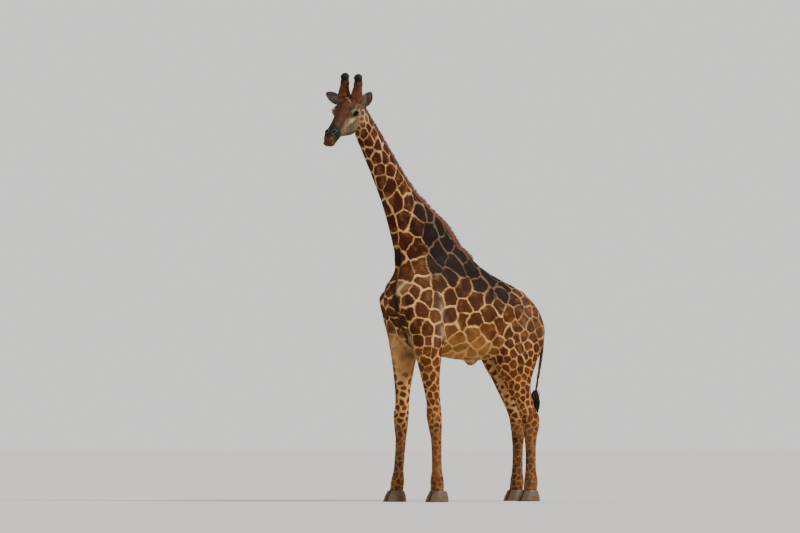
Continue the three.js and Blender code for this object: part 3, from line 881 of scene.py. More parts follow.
def chin_forward(points):
    """Brings the lower lip level with the upper one, at the front and on both sides."""
    local = to_head(points)
    share = rise(local[:, 1], 0.640, 0.750) * rise(-local[:, 2], 0.022, 0.060) * SHARE_OF_HEAD
    aside = CHIN_WIDER * rise(local[:, 1], 0.62, 0.70) * share * np.clip(local[:, 0] / 0.025, -1, 1)
    up = CHIN_UP * share * rise(-local[:, 2], 0.085, 0.120)
    return points + np.column_stack([aside, CHIN_SHIFT * share, up]) @ HEAD_AXES


points = points_of(skin)
# Where shade is painted along the mouth's crease.
MOUTH_CREASE_SHADE = along(mirrored(to_head(points)), MOUTH, 0.0058)
relief = body_relief(points) * (1 - SHARE_OF_HEAD) + head_relief(points)
relief += horn_relief(points, normals_of(skin)) + leg_relief(points) - SHEATH_DEPTH * SHARE["sheath"]
points += normals_of(skin) * relief[:, None]
for side in EYES:
    points = set_lids(points, side)
points = ears_wider(chin_forward(set_nostrils(points)))
move_points(skin, points)
foot = np.clip(4 * HORN * SHARE["head"], 0, 1)
foot = np.maximum(foot, horn_feet(to_head(points), HORN_FOOT_REACH))
relax(skin, 60, push=0, share=np.clip(1.6 * foot, 0, 1) * (SHARE[EARS[0]] + SHARE[EARS[1]] < 0.02))
NOSTRILS = nostril_ring(to_head(points))
relax(skin, 3, push=0, share=np.clip(2.2 - NOSTRILS, 0, 1))
points = points_of(skin)
LIDS = {side: lid_ring(eye_view(points, side)) for side in EYES}
LONGER = np.array([0.74, 1.0, 1.0])
DARK_LIDS = {side: lid_ring(eye_view(points, side) * LONGER) for side in EYES}
EYE_GAP = {
    side: np.linalg.norm(points - middle_of(node), axis=1) / EYE_RADIUS for side, node in EYES.items()
}

# ------------------------------------------------------------------ markings

TAN = paint(204, 156, 100)
PALE = paint(192, 150, 102)
STRAW = paint(192, 142, 84)
DUSTY = paint(141, 109, 77)
CHESTNUT = paint(64, 25, 2)
BAY = paint(76, 37, 8)
RUSSET = paint(92, 46, 9)
NEAR_BLACK = paint(22, 11, 5)
UMBER = paint(82, 50, 24)
OCHRE = paint(158, 106, 49)
# Painted shade for the chest's crease.
CHEST_CREASE_SHADE = paint(30, 17, 10)
# Painted highlight for the shoulder's lit front edge.
SHOULDER_EDGE_HIGHLIGHT = paint(206, 172, 122)
# Painted sheen for the fold behind the elbow.
FOLD_SHEEN = paint(172, 152, 130)
HUE = {
    "high neck": paint(156, 126, 92),
    "dark top ground": paint(100, 78, 58),
    "leg ground": paint(174, 124, 74),
    "bare": paint(186, 138, 88),
    "plain": paint(178, 132, 84),
    "low leg ground": paint(128, 86, 48),
    "low leg patch": paint(80, 45, 20),
    "sheath ground": paint(176, 140, 98),
    "sheath patch": paint(150, 112, 72),
    "tail ground": paint(92, 58, 34),
    "tail patch": paint(70, 42, 24),
    "worn patch": paint(134, 92, 56),
    "cheek, dark": paint(77, 63, 49),
    "cheek": paint(100, 85, 66),
    "under eye": paint(188, 160, 122),
    "before cheek": paint(150, 130, 104),
    "throat": paint(164, 131, 94),
    "forehead": paint(82, 42, 20),
    "forehead, dark": paint(50, 27, 15),
    "bridge": paint(58, 34, 22),
    "bridge, side": paint(62, 34, 20),
    "crown": paint(62, 40, 28),
    # Painted highlight on the arc of the forehead's boss:
    "forehead highlight": paint(196, 164, 120),
    "under jaw": paint(150, 124, 92),
    "horn base": paint(98, 58, 34),
    "muzzle": paint(23, 21, 17),
    "lip": paint(86, 50, 24),
    "lip, dark": paint(48, 30, 20),
    # Painted shade for the mouth's crease:
    "mouth": paint(26, 18, 15),
    "blotch of throat": paint(88, 52, 30),
    "nostril rim": paint(128, 120, 106),
    # Painted shade in the nostrils' openings:
    "nostril": paint(12, 10, 10),
    "eye corner": paint(26, 20, 18),
    "tear duct": paint(22, 16, 14),
    "eye ring": paint(180, 156, 122),
    "lids": paint(25, 19, 17),
    "ear back": paint(176, 142, 104),
    "ear back, dark": paint(96, 66, 46),
    "ear lining": paint(104, 88, 82),
    "ear lining, dark": paint(48, 40, 40),
    "ear streak": paint(30, 26, 27),
    "ear root": paint(184, 166, 146),
    "ear edge": paint(24, 19, 18),
    "shaft": paint(104, 60, 32),
    "shaft, high": paint(78, 46, 28),
    "shaft, worn": paint(98, 60, 38),
    "under knob": paint(26, 20, 18),
    "knob": paint(18, 17, 18),
    "knob, dark": paint(5, 5, 6),
    "mane": paint(118, 66, 50),
    "mane root": paint(94, 52, 38),
    "mane tip": paint(48, 26, 18),
    "tail hair": paint(26, 20, 17),
    "lashes": paint(16, 12, 11),
    "whiskers": paint(40, 30, 24),
    "ear hair": paint(176, 156, 136),
    "iris": paint(36, 20, 11),
    "iris, outer": paint(13, 9, 7),
    "pupil": paint(6, 6, 8),
    "eye edge": paint(26, 19, 16),
    "eye back": paint(46, 34, 28),
    "hoof": paint(98, 71, 44),
    "hoof, dark": paint(32, 21, 12),
}

# Heights of the back and the belly along the body.
BACK_Y = (-0.9, -0.6, -0.3, 0.0, 0.25, 0.5, 0.8, 1.0, 1.2)
BACK_Z = (2.80, 3.06, 3.20, 3.12, 2.93, 2.78, 2.65, 2.53, 2.40)
BELLY_Z = (2.10, 1.84, 1.77, 1.73, 1.71, 1.74, 1.85, 1.98, 2.11)

NECK = part_share("neck")
TRUNK = part_share("trunk", "sheath")
FORE = part_share("foreleg_left", "foreleg_right")
HIND = part_share("hindleg_left", "hindleg_right")
FACE = rise(SHARE["head"], 0.25, 0.75)
FACE_LOW = ((0.10, 0.256, 0.35, 0.50, 0.62, 0.74), (0.085, 0.092, 0.058, 0.014, -0.004, -0.030))
TEAR_DUCT = ((0.126, 0.284, 0.040), (0.120, 0.306, 0.032))
EYE_CORNER = ((0.128, 0.226, 0.044), (0.128, 0.190, 0.050), (0.118, 0.150, 0.062))


def layered(colour, *layers):
    """A colour with others laid over it, each by its share."""
    for layer, share in layers:
        colour = mix(colour, layer, share)
    return colour


def face_zones(points, normals, local):
    """Shares of the face that have colours of their own, a painted highlight on the forehead's arc,
    and the wavering height.
    """
    side, forward = np.abs(local[:, 0]), local[:, 1]
    up = local[:, 2] + 0.010 * noise(points, 0.030, 41) + 0.004 * noise(points, 0.010, 42)
    front = forward + 0.012 * noise(points, 0.035, 43)
    over = up - np.interp(forward, *FACE_LOW)
    above, muzzle = rise(over, -0.012, 0.026), rise(front, 0.545, 0.625)
    jaw = (1 - rise(forward, 0.12, 0.27)) * (1 - rise(up, -0.10, 0.0))
    behind = 1 - rise(forward, 0.13, 0.22)
    # The arc of the forehead's boss, where a highlight is painted.
    arc = np.exp(-(((forward - 0.184 - 9 * side**2) / 0.0060) ** 2))
    edge = np.exp(-(((over + 0.026) / 0.030) ** 2)) * rise(forward, 0.30, 0.36)
    strong = np.clip(0.06 + 0.80 * jaw + 0.80 * behind + 0.18 * edge, 0, 0.92)
    return {
        "up": up,
        "above": above,
        "muzzle": muzzle,
        "jaw": jaw,
        "behind": behind,
        "streak": 1 - rise(side, 0.010, 0.040),
        "slant": np.exp(-(((side - 0.10 * (forward - 0.20) - 0.030) / 0.010) ** 2)),
        "arc": arc * (1 - rise(side, 0.052, 0.072)),
        "below jaw": rise(-normals @ HEAD_UP, 0.45, 0.85) * (1 - rise(forward, 0.55, 0.62)),
        "lip": rise(front, 0.722, 0.752) * (1 - rise(up, -0.002, 0.020)),
        "chin": rise(front, 0.655, 0.70) * (1 - rise(up, -0.082, -0.066)),
        "blotched": strong * (1 - above) * (1 - muzzle),
    }


def face_marks(points, sided, colour):
    """Rims of the nostrils and painted shade in their openings, and the corners, rings and lids of
    the eyes.
    """
    rim = np.exp(-(((NOSTRILS - 1.36) / 0.15) ** 2))
    colour = layered(
        colour,
        (HUE["nostril rim"], rim * (0.56 + 0.40 * noise(points, 0.020, 46)).clip(0, 1)),
        # Painted shade: near black in the nostrils' openings.
        (HUE["nostril"], 1 - rise(NOSTRILS, 1.04, 1.24)),
        (HUE["eye corner"], 0.95 * along(sided, EYE_CORNER, 0.0125)),
        (HUE["tear duct"], 0.90 * along(sided, TEAR_DUCT, 0.0085)),
    )
    for side in EYES:
        near_eye = 1 - rise(EYE_GAP[side], 2.6, 3.2)
        pale = np.exp(-(((LIDS[side] - 3.0) / 0.55) ** 2)) * near_eye
        dark = near_eye * (1 - rise(DARK_LIDS[side], 1.55, 2.45))
        colour = layered(colour, (HUE["eye ring"], 0.40 * pale), (HUE["lids"], dark))
    return colour


def face_paint(points, normals):
    """Ground and blotches of the face, with a painted highlight on the forehead's arc and painted
    shade along the mouth.
    """
    local = to_head(points)
    sided, forward = mirrored(local), local[:, 1]
    zone = face_zones(points, normals, local)
    above, muzzle, lips = zone["above"], zone["muzzle"], np.maximum(zone["lip"], zone["chin"])
    fore = rise(forward, 0.24, 0.32)
    combed = noise(local * np.array([1, 0.22, 1]), 0.016, 47) + 0.5 * noise(points, 0.05, 48)
    ground = layered(
        mix(HUE["cheek, dark"], HUE["cheek"], rise(noise(points, 0.020, 45), -0.4, 0.4)),
        (HUE["under eye"], swell(sided, (0.12, 0.32, -0.010), (0.10, 0.085, 0.045))),
        (HUE["before cheek"], 0.7 * swell(sided, (0.10, 0.46, -0.030), (0.10, 0.10, 0.050))),
        (HUE["throat"], np.maximum(zone["jaw"], zone["behind"])),
        (mix(HUE["forehead"], HUE["forehead, dark"], rise(combed, -0.5, 0.5)), above),
        (HUE["bridge"], above * zone["streak"] * fore),
        (HUE["bridge, side"], 0.7 * above * zone["slant"] * fore),
        (HUE["crown"], rise(zone["up"], 0.10, 0.16) * (1 - rise(forward, 0.13, 0.20))),
        # A pale painted highlight along the arc of the forehead's boss.
        (HUE["forehead highlight"], 0.85 * zone["arc"] * above),
        (HUE["under jaw"], 0.7 * zone["below jaw"]),
        (HUE["horn base"], np.clip(1.1 * horn_feet(local, (0.085, 0.095, 0.070)), 0, 0.9)),
        (HUE["muzzle"], muzzle),
        (HUE["lip"], np.maximum(zone["lip"], 0.85 * zone["chin"])),
        (HUE["lip, dark"], 0.7 * lips * rise(noise(points, 0.014, 44), -0.1, 0.5)),
        # Painted shade along the mouth's crease.
        (HUE["mouth"], 0.92 * MOUTH_CREASE_SHADE * rise(forward, 0.56, 0.60)),
    )
    blotch = layered(
        ground,
        (HUE["blotch of throat"], zone["blotched"]),
        (ground * 0.88, np.clip(above + muzzle, 0, 1)),
    )
    return face_marks(points, sided, ground), face_marks(points, sided, blotch)


def ear_paint(points, normals, name):
    """Pink-grey inside with a dark edge and a pale root, tan behind."""
    facing = normals @ EAR_OPENING
    edge = 1 - rise(np.abs(facing), 0.12, 0.45)
    hand = 1 if name == "ear_left" else -1
    reach = rise(to_head(points)[:, 0] * hand, 0.12, 0.26 if hand == 1 else 0.32)
    worn = 0.55 * rise(noise(points, 0.030, 51), 0.1, 0.5) + 0.3 * reach
    axis = LIE_OF_EAR[name]
    streaked = points - 0.85 * (points @ axis)[:, None] * axis
    streak = 0.5 * rise(noise(streaked, 0.022, 54), -0.1, 0.5) * rise(reach, 0.1, 0.4)
    lining = layered(
        mix(HUE["ear lining"], HUE["ear lining, dark"], rise(noise(streaked, 0.016, 52), -0.4, 0.5)),
        (HUE["ear streak"], streak),
        (HUE["ear root"], 0.45 * (1 - rise(reach, 0.0, 0.30))),
    )
    return layered(
        mix(HUE["ear back"], HUE["ear back, dark"], worn),
        (lining, rise(facing, 0.05, 0.40)),
        (HUE["ear edge"], np.clip(1.8 * edge, 0, 1) * rise(reach, 0.02, 0.22)),
    )


def horn_paint(points):
    """Rust shafts, darker towards the knobs."""
    up = to_head(points)[:, 2]
    return layered(
        HUE["shaft"],
        (HUE["shaft, high"], rise(up, 0.17, 0.29)),
        (HUE["under knob"], rise(up, KNOB_FOOT - 0.022, KNOB_FOOT - 0.004)),
        (HUE["shaft, worn"], 0.5 * rise(noise(points, 0.022, 53), 0, 0.6)),
    )


# The furrow down the chest as seen from in front, where shade is painted dark, and the fold behind
# the elbow from the side, where a pale sheen is painted.
CHEST_FURROW = (
    (0.035, 0, 3.05),
    (0.033, 0, 2.77),
    (0.105, 0, 2.54),
    (0.110, 0, 2.38),
    (0.063, 0, 2.17),
    (0.019, 0, 1.97),
    (-0.110, 0, 1.78),
)
# The shoulder's front edge as seen from in front, where a highlight is painted.
LIT_EDGE_COURSE = ((0.172, 0, 2.66), (0.150, 0, 2.58), (0.147, 0, 2.50))
ELBOW_FOLD = ((0, -0.45, 2.55), (0, -0.42, 2.27), (0, -0.44, 1.98))
# Sizes of the patches: places along the part, and how wide the patches are there.
NECK_PATCHES = ((2.9, 3.4, 3.9, 4.3, 4.7), (0.20, 0.175, 0.15, 0.12, 0.085))
TRUNK_PATCHES = ((-0.9, -0.2, 0.4, 0.75, 1.2), (0.19, 0.225, 0.21, 0.16, 0.13))
LEG_LEVELS = (0, 0.7, 1.1, 1.5, 1.8, 2.1, 2.5)
FORELEG_PATCHES = (LEG_LEVELS, (0.070, 0.075, 0.080, 0.100, 0.125, 0.165, 0.20))
HINDLEG_PATCHES = (LEG_LEVELS, (0.070, 0.075, 0.078, 0.092, 0.112, 0.135, 0.15))
FACE_PATCHES = ((-0.05, 0.10, 0.25, 0.40), (0.085, 0.062, 0.044, 0.036))
OTHER_PATCHES = 0.06
# Half the width of the lines between patches of these sizes, and where a line turns to patch.
LINE_WIDTHS = ((0.045, 0.08, 0.12, 0.16, 0.22), (0.0055, 0.0078, 0.0086, 0.0092, 0.0104))
LINE_EDGE = (0.8, 1.25)
# The middle line of the neck seen from the side: heights, and how far back.
NECK_MIDDLE = ((2.8, 3.2, 3.6, 4.0, 4.4), (-0.66, -0.74, -0.84, -0.98, -1.14))
OPEN_CHEST = ((0.10, -0.66, 1.86), (0.13, 0.24, 0.24))


def patch_sizes(points, height):
    """How wide the patches are at each point."""
    _, y, z = to_body(points).T
    size = (
        NECK * np.interp(z, *NECK_PATCHES)
        + TRUNK * np.interp(y, *TRUNK_PATCHES)
        + FORE * np.interp(z, *FORELEG_PATCHES)
        + HIND * np.interp(z, *HINDLEG_PATCHES)
        + SHARE["head"] * np.interp(to_head(points)[:, 1], *FACE_PATCHES)
        + part_share(*EARS, *HORNS, "tail") * OTHER_PATCHES
    )
    return size * (1 - 0.28 * TRUNK * rise(-height, -0.25, 0.0))


def body_zones(points, normals):
    """Shares of the body that have colours or lines of their own, painted shade in the chest's
    crease, a painted highlight on the shoulder's edge and a painted sheen behind the elbow, and the
    height up the flank.
    """
    body = to_body(points)
    x, y, z = body.T
    low = np.interp(y, BACK_Y, BELLY_Z)
    height = (z - low) / (np.interp(y, BACK_Y, BACK_Z) - low)
    inner = rise(-normals[:, 0] * np.sign(x), 0.05, 0.75)
    outward = rise(normals[:, 0] * np.sign(x), 0.15, 0.50)
    leaning = np.column_stack([np.where(x < 0, 0.6, 1.0) * np.abs(x), y, z])
    open_chest = np.clip(1.7 * swell(leaning, *OPEN_CHEST), 0, 1) * (1 - outward)
    bare_top = inner * FORE * rise(z, 1.45, 1.70) * (1 - rise(z, 1.85, 2.15))
    bare = FORE * rise(z, 0.8, 1.5) * (1 - rise(z, 2.05, 2.3)) + HIND * rise(z, 0.8, 1.5)
    back = rise(height, 0.50, 0.76) * TRUNK * (1 - rise(y, 0.55, 0.9)) * rise(y, -0.66, -0.46)
    nape = NECK * (1 - rise(z, 3.3, 4.3)) * rise(y - np.interp(z, *NECK_MIDDLE), 0.02, 0.22)
    belly = TRUNK * (1 - rise(height, 0.05, 0.34)) * rise(y, -0.60, -0.30)
    # The fold behind the elbow on outward sides, where a pale sheen is painted.
    fold = along(body * [0, 1, 1], ELBOW_FOLD, 0.034) * outward
    return {
        "height": height,
        "bare": inner * bare,
        "under": TRUNK * rise(-normals[:, 2], 0.35, 0.85) * rise(-height, -0.3, -0.05),
        "plain": np.clip(open_chest + bare_top, 0, 1),
        # The chest's crease, where shade is painted.
        "furrow": along(body * [1, 0, 1], CHEST_FURROW, 0.046) * (1 - rise(y, -0.55, -0.45)),
        # The shoulder's front edge, where a highlight is painted.
        "lit edge": along(body * [1, 0, 1], LIT_EDGE_COURSE, 0.016) * (1 - rise(y, -0.70, -0.60)),
        "fold": fold * rise(noise(points, 0.05, 10), -0.6, 0.3),
        "haunch": rise(y, 0.50, 0.85) * rise(z, 1.7, 2.15) * (1 - 0.6 * inner),
        "dark top": np.clip(back + nape, 0, 1),
        "belly": belly * (1 - rise(y, 0.60, 0.85)),
        "low leg": (FORE + HIND) * (1 - rise(z, 0.75, 1.15)),
        "leg": (FORE + HIND) * (1 - rise(z, 1.5, 2.1)),
    }


def body_paint(points, zone):
    """Ground and patch colour of the trunk, the neck and the legs, with painted shade, highlight and
    sheen on the chest, shoulder and elbow.
    """
    z, bare, belly, plain = points[:, 2], zone["bare"], zone["belly"], zone["plain"]
    ground = layered(
        TAN,
        (PALE, NECK * rise(z, 3.0, 4.2)),
        (HUE["high neck"], 0.8 * NECK * rise(z, 4.2, 4.7)),
        (DUSTY, 0.8 * zone["haunch"]),
        (HUE["dark top ground"], zone["dark top"]),
        (STRAW, 0.7 * belly),
        (HUE["leg ground"], zone["leg"] * (1 - bare)),
        (HUE["bare"], bare),
        (HUE["low leg ground"], zone["low leg"]),
    )
    dark = layered(
        CHESTNUT,
        (BAY, TRUNK + FORE),
        (UMBER, zone["haunch"]),
        (NEAR_BLACK, zone["dark top"]),
        (OCHRE, 0.85 * belly),
        (RUSSET, 0.7 * zone["leg"]),
        (HUE["low leg patch"], zone["low leg"]),
        (ground, 0.40 * zone["low leg"] * rise(noise(points, 0.10, 8), -0.2, 0.6)),
    )
    ground = mix(ground, HUE["plain"], plain)
    dark = mix(dark, ground * (1 - 0.20 * noise(points, 0.05, 9))[:, None], 0.88 * plain)
    # Painted shade down the chest's crease and a painted highlight on the shoulder's front edge.
    furrow, edge = (CHEST_CREASE_SHADE, 0.88 * zone["furrow"]), (SHOULDER_EDGE_HIGHLIGHT, 0.75 * zone["lit edge"])
    # A pale painted sheen on the fold behind the elbow, full on the ground and dimmer on the patches.
    fold = 0.60 * zone["fold"]
    ground = layered(ground, furrow, edge, (FOLD_SHEEN, fold))
    return ground, layered(dark, furrow, edge, (FOLD_SHEEN * 0.70, fold))


def skin_plan(points, normals):
    """Patch size, half the line's width, ground, patch colour and where patches are even."""
    zone = body_zones(points, normals)
    size = patch_sizes(points, zone["height"])
    width = np.interp(size, *LINE_WIDTHS)
    width = width * (1 - 0.08 * NECK * rise(points[:, 2], 3.2, 4.0))
    width = width * (1 + 1.5 * zone["bare"] + 0.5 * zone["under"])
    ground, dark = body_paint(points, zone)
    face_ground, face_dark = face_paint(points, normals)
    ground, dark = mix(ground, face_ground, FACE), mix(dark, face_dark, FACE)
    for name in EARS:
        ear = ear_paint(points, normals, name)
        ground, dark = mix(ground, ear, SHARE[name]), mix(dark, ear * 0.94, SHARE[name])
    shaft, tail = horn_paint(points), SHARE["tail"] * (1 - rise(points[:, 2], 2.05, 2.25))
    ground = layered(
        ground, (HUE["sheath ground"], SHARE["sheath"]), (shaft, HORN), (HUE["tail ground"], tail)
    )
    dark = layered(
        dark, (HUE["sheath patch"], SHARE["sheath"]), (shaft * 0.86, HORN), (HUE["tail patch"], tail)
    )
    even = 1 - np.clip(zone["furrow"] + zone["fold"] + zone["lit edge"] + zone["plain"], 0, 1)
    return {"size": size, "width": width, "ground": ground, "dark": dark, "even": even}


SEED = 11
MIDDLE_SEEDS = 60000


def patch_space(points):
    """Points squeezed along the neck, where the patches are longer than they are wide."""
    squeezed = points.copy()
    squeezed[:, 2] = np.interp(points[:, 2], [0, 2.8, 3.2, 6.0], [0, 2.8, 3.12, 3.12 + 0.76 * 2.8])
    return squeezed


def wobble(points, size):
    """The same points pushed about, so that the lines between patches waver."""
    shift = np.column_stack([noise(points, 0.11, seed) for seed in (1, 2, 3)])
    fine = np.column_stack([noise(points, 0.035, seed) for seed in (4, 5, 6)])
    loose = 0.17 + 0.10 * (1 - rise(points[:, 2], 1.4, 2.0))
    return points + shift * (loose * size)[:, None] + fine * (0.05 * size)[:, None]


def scatter(mesh, count, rng, density=None):
    """Random spots on a mesh: its triangles, the triangle and the weights of each spot.

    Where no count is given there are as many spots as the density asks for.
    """
    places, triangles = points_of(mesh), triangles_of(mesh)
    a, b, c = (places[triangles[:, k]] for k in range(3))
    area = np.linalg.norm(np.cross(b - a, c - a), axis=1) / 2
    if density is not None:
        area = area * density[triangles].mean(1)
    total = np.cumsum(area)
    count = int(total[-1]) if count is None else count
    chosen = np.minimum(np.searchsorted(total, rng.random(count) * total[-1]), len(triangles) - 1)
    first, second = rng.random(count), rng.random(count)
    flip = first + second > 1
    first[flip], second[flip] = 1 - first[flip], 1 - second[flip]
    return triangles, chosen, np.column_stack([1 - first - second, first, second])


def blend_at(values, corners, weights):
    """The values at spots inside triangles, from those at the corners."""
    return np.einsum("nk,nk...->n...", weights, values[corners])


def patch_middles(mesh, size, rng):
    """The middles of the patches: spread evenly, as far apart as the patches are wide."""
    triangles, chosen, weights = scatter(mesh, MIDDLE_SEEDS, rng, 1 / size**2)
    corners = triangles[chosen]
    spots = patch_space(blend_at(points_of(mesh), corners, weights))
    spread = blend_at(size, corners, weights)
    middles = np.zeros((0, 3))
    reach = np.zeros(0)
    for spot, width in zip(spots, spread):
        if len(middles):
            gap = ((middles - spot) ** 2).sum(1)
            if (gap < (0.78 * np.minimum(width, reach)) ** 2).any():
                continue
        middles = np.vstack([middles, spot])
        reach = np.append(reach, width)
    for _ in range(2):
        tree = kd_tree(middles)
        owner = np.array([tree.find(spot)[1] for spot in spots])
        count = np.bincount(owner, minlength=len(middles))
        total = np.column_stack([np.bincount(owner, spots[:, k], len(middles)) for k in range(3)])
        kept = count > 0
        middles[kept] += 0.7 * (total[kept] / count[kept, None] - middles[kept])
    return middles


def patch_edges(points, size, width, middles, tree):
    """How far each point is from the nearest line's middle, in half widths, and its patch."""
    spots = wobble(patch_space(points), size)
    found = [tree.find_n(spot, 4) for spot in spots]
    order = np.array([[entry[1] for entry in row] for row in found])
    own = middles[order[:, 0]]
    nearest = np.full(len(points), 1e9)
    for k in (1, 2, 3):
        other = middles[order[:, k]]
        apart = np.linalg.norm(other - own, axis=1)
        gap = (((spots - other) ** 2).sum(1) - ((spots - own) ** 2).sum(1)) / (2 * apart)
        pair = (order[:, 0] + 1) * (order[:, k] + 1) + (order[:, 0] + order[:, k]) * 7919
        thin = 0.52 + 0.86 * ((pair * 2654435761 >> 8) & 1023) / 1023
        nearest = np.minimum(nearest, gap / (width * thin))
    blurred = 0.45 * (1 - rise(points[:, 2], 0.9, 1.5))
    return nearest + blurred * noise(points, 0.018, 7), order[:, 0]


points, normals = points_of(skin), normals_of(skin)
plan = skin_plan(points, normals)
rng = np.random.default_rng(SEED)
MIDDLES = patch_middles(skin, plan["size"], rng)
TREE = kd_tree(MIDDLES)
edge, owner = patch_edges(points, plan["size"], plan["width"], MIDDLES, TREE)
PATCH_SPREAD = 0.7
PATCH_LIGHT = rng.uniform(0.70, 1.30, len(MIDDLES))
own_count = np.maximum(np.bincount(owner, minlength=len(MIDDLES)), 1)
PATCH_COLOUR = np.column_stack(
    [np.bincount(owner, plan["dark"][:, k], len(MIDDLES)) / own_count for k in range(3)]
)


def patch_paint(points, dark, owner, even_share):
    """Patches each hold one colour of their own, mottled, with a little of the slow change."""
    even = PATCH_COLOUR[owner] * PATCH_LIGHT[owner][:, None]
    dark = mix(dark, even, PATCH_SPREAD * even_share)
    coarse, fine = noise(points, 0.060, 71), noise(points, 0.020, 72)
    dark = dark * (1 + 0.34 * coarse + 0.20 * fine)[:, None]
    worn = 0.34 * rise(coarse + 0.5 * fine, 0.15, 0.85) * even_share * rise(dark[:, 0], 0.015, 0.050)
    return mix(dark, HUE["worn patch"], worn)


add_number(skin, "line", edge)
add_colour(skin, "ground", plan["ground"])
EVEN = (1 - np.clip(FACE + part_share(*EARS, *HORNS), 0, 1)) * plan["even"]
add_colour(skin, "dark", patch_paint(points, plan["dark"], owner, EVEN))


SHADER = "Principled BSDF"
GRAIN = (0.3, 0.7)


def new_material(name, glint=None):
    """A material, its nodes and links, and the place in the frame that its noise reads."""
    made = bpy.data.materials.new(name)
    made.use_nodes = True
    nodes = made.node_tree.nodes
    if glint is not None:
        nodes[SHADER].inputs["Specular IOR Level"].default_value = glint
    place = nodes.new("ShaderNodeNewGeometry").outputs["Position"]
    return made, nodes, made.node_tree.links, place


def read_of(nodes, name):
    """A colour or number that the mesh holds under this name."""
    read = nodes.new("ShaderNodeAttribute")
    read.attribute_name = name
    return read


def math_node(nodes, links, operation, value):
    made = nodes.new("ShaderNodeMath")
    made.operation = operation
    links.new(value, made.inputs[0])
    return made


def ramped(nodes, links, value, positions, colours):
    """The colour between two that a value asks for."""
    ramp = nodes.new("ShaderNodeValToRGB")
    for element, position, colour in zip(ramp.color_ramp.elements, positions, colours):
        element.position = position
        element.color = (*colour, 1)
    links.new(value, ramp.inputs["Fac"])
    return ramp.outputs["Color"]


def noise_node(nodes, links, vector, scale, detail):
    made = nodes.new("ShaderNodeTexNoise")
    made.inputs["Scale"].default_value = scale
    made.inputs["Detail"].default_value = detail
    links.new(vector, made.inputs["Vector"])
    return made.outputs["Fac"]


def ranged(nodes, links, value, from_low, from_high, to_low, to_high, smooth=False):
    made = nodes.new("ShaderNodeMapRange")
    made.interpolation_type = "SMOOTHSTEP" if smooth else "LINEAR"
    made.inputs["From Min"].default_value = from_low
    made.inputs["From Max"].default_value = from_high
    made.inputs["To Min"].default_value = to_low
    made.inputs["To Max"].default_value = to_high
    links.new(value, made.inputs["Value"])
    return made.outputs["Result"]


def shade(nodes, links, colour, light):
    """Sets the base colour, made lighter or darker by a number."""
    shaded = nodes.new("ShaderNodeVectorMath")
    shaded.operation = "SCALE"
    links.new(colour, shaded.inputs["Vector"])
    links.new(light, shaded.inputs["Scale"])
    links.new(shaded.outputs["Vector"], nodes[SHADER].inputs["Base Color"])


def roughen(nodes, links, value, low, high):
    """Sets the roughness between two numbers, by noise."""
    links.new(ranged(nodes, links, value, *GRAIN, low, high), nodes[SHADER].inputs["Roughness"])


def add_bump(nodes, links, height, strength, distance):
    bump = nodes.new("ShaderNodeBump")
    bump.inputs["Strength"].default_value = strength
    bump.inputs["Distance"].default_value = distance
    links.new(height, bump.inputs["Height"])
    links.new(bump.outputs["Normal"], nodes[SHADER].inputs["Normal"])


def skin_material():
    """Ground and patches split along the lines, with the nap of short hair in the bump."""
    made, nodes, links, place = new_material("skin", 0.12)
    line, ground, dark = (read_of(nodes, name) for name in ("line", "ground", "dark"))
    blend = nodes.new("ShaderNodeMix")
    blend.data_type = "RGBA"
    split = ranged(nodes, links, line.outputs["Fac"], *LINE_EDGE, 0, 1, True)
    links.new(split, blend.inputs["Factor"])
    links.new(ground.outputs["Color"], blend.inputs["A"])
    links.new(dark.outputs["Color"], blend.inputs["B"])
    nap = noise_node(nodes, links, place, 650, 5)
    shade(nodes, links, blend.outputs["Result"], ranged(nodes, links, nap, *GRAIN, 0.72, 1.08))
    roughen(nodes, links, nap, 0.60, 0.78)
    add_bump(nodes, links, nap, 0.5, 0.0012)
    return made


body = object_of("skin", skin, skin_material())
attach(body, "root")
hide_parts(*FLESH)

# ------------------------------------------------------------------ coat

# Which way the hair lies on each part, in the frame.
LIES = {
    "trunk": (0, 0.93, -0.37), "sheath": (0, 1, 0), "tail": (0, 0.1, -1), "neck": (0, 0.45, -0.89),
    "foreleg_left": (0, 0.12, -1), "foreleg_right": (0, 0.12, -1),
    "hindleg_left": (0, 0.2, -1), "hindleg_right": (0, 0.2, -1),
    "head": tuple(-HEAD_FORWARD), "ossicone_left": tuple(HEAD_UP), "ossicone_right": tuple(HEAD_UP),
    **{name: tuple(axis) for name, axis in LIE_OF_EAR.items()},
}
lie = softened(np.array([LIES[FLESH[k]] for k in OWNER], float), LINKS, 14)

# Spacing, length, breadth and lift of the tufts on each part.
TUFTS = {
    "trunk": (0.0070, 0.019, 0.0054, 0.0026),
    "neck": (0.0065, 0.017, 0.0050, 0.0025),
    "leg": (0.0068, 0.0145, 0.0046, 0.0020),
    "head": (0.0047, 0.010, 0.0030, 0.0010),
    "ear": (0.0042, 0.011, 0.0028, 0.0012),
    "ossicone": (0.0046, 0.012, 0.0034, 0.0026),
}
KIND = {name: "leg" if "leg" in name else name.split("_")[0] for name in FLESH}
KIND.update(tail="leg", sheath="leg")
kinds = sorted(TUFTS)
kind_share = {kind: sum(SHARE[n] for n in FLESH if KIND[n] == kind) for kind in kinds}
tuft_sizes = sum(kind_share[kind][:, None] * np.array(TUFTS[kind]) for kind in kinds)
CORONET = 0.20
tuft_sizes[:, 1] *= 1 + 1.2 * (1 - rise(points[:, 2], 0.13, CORONET))

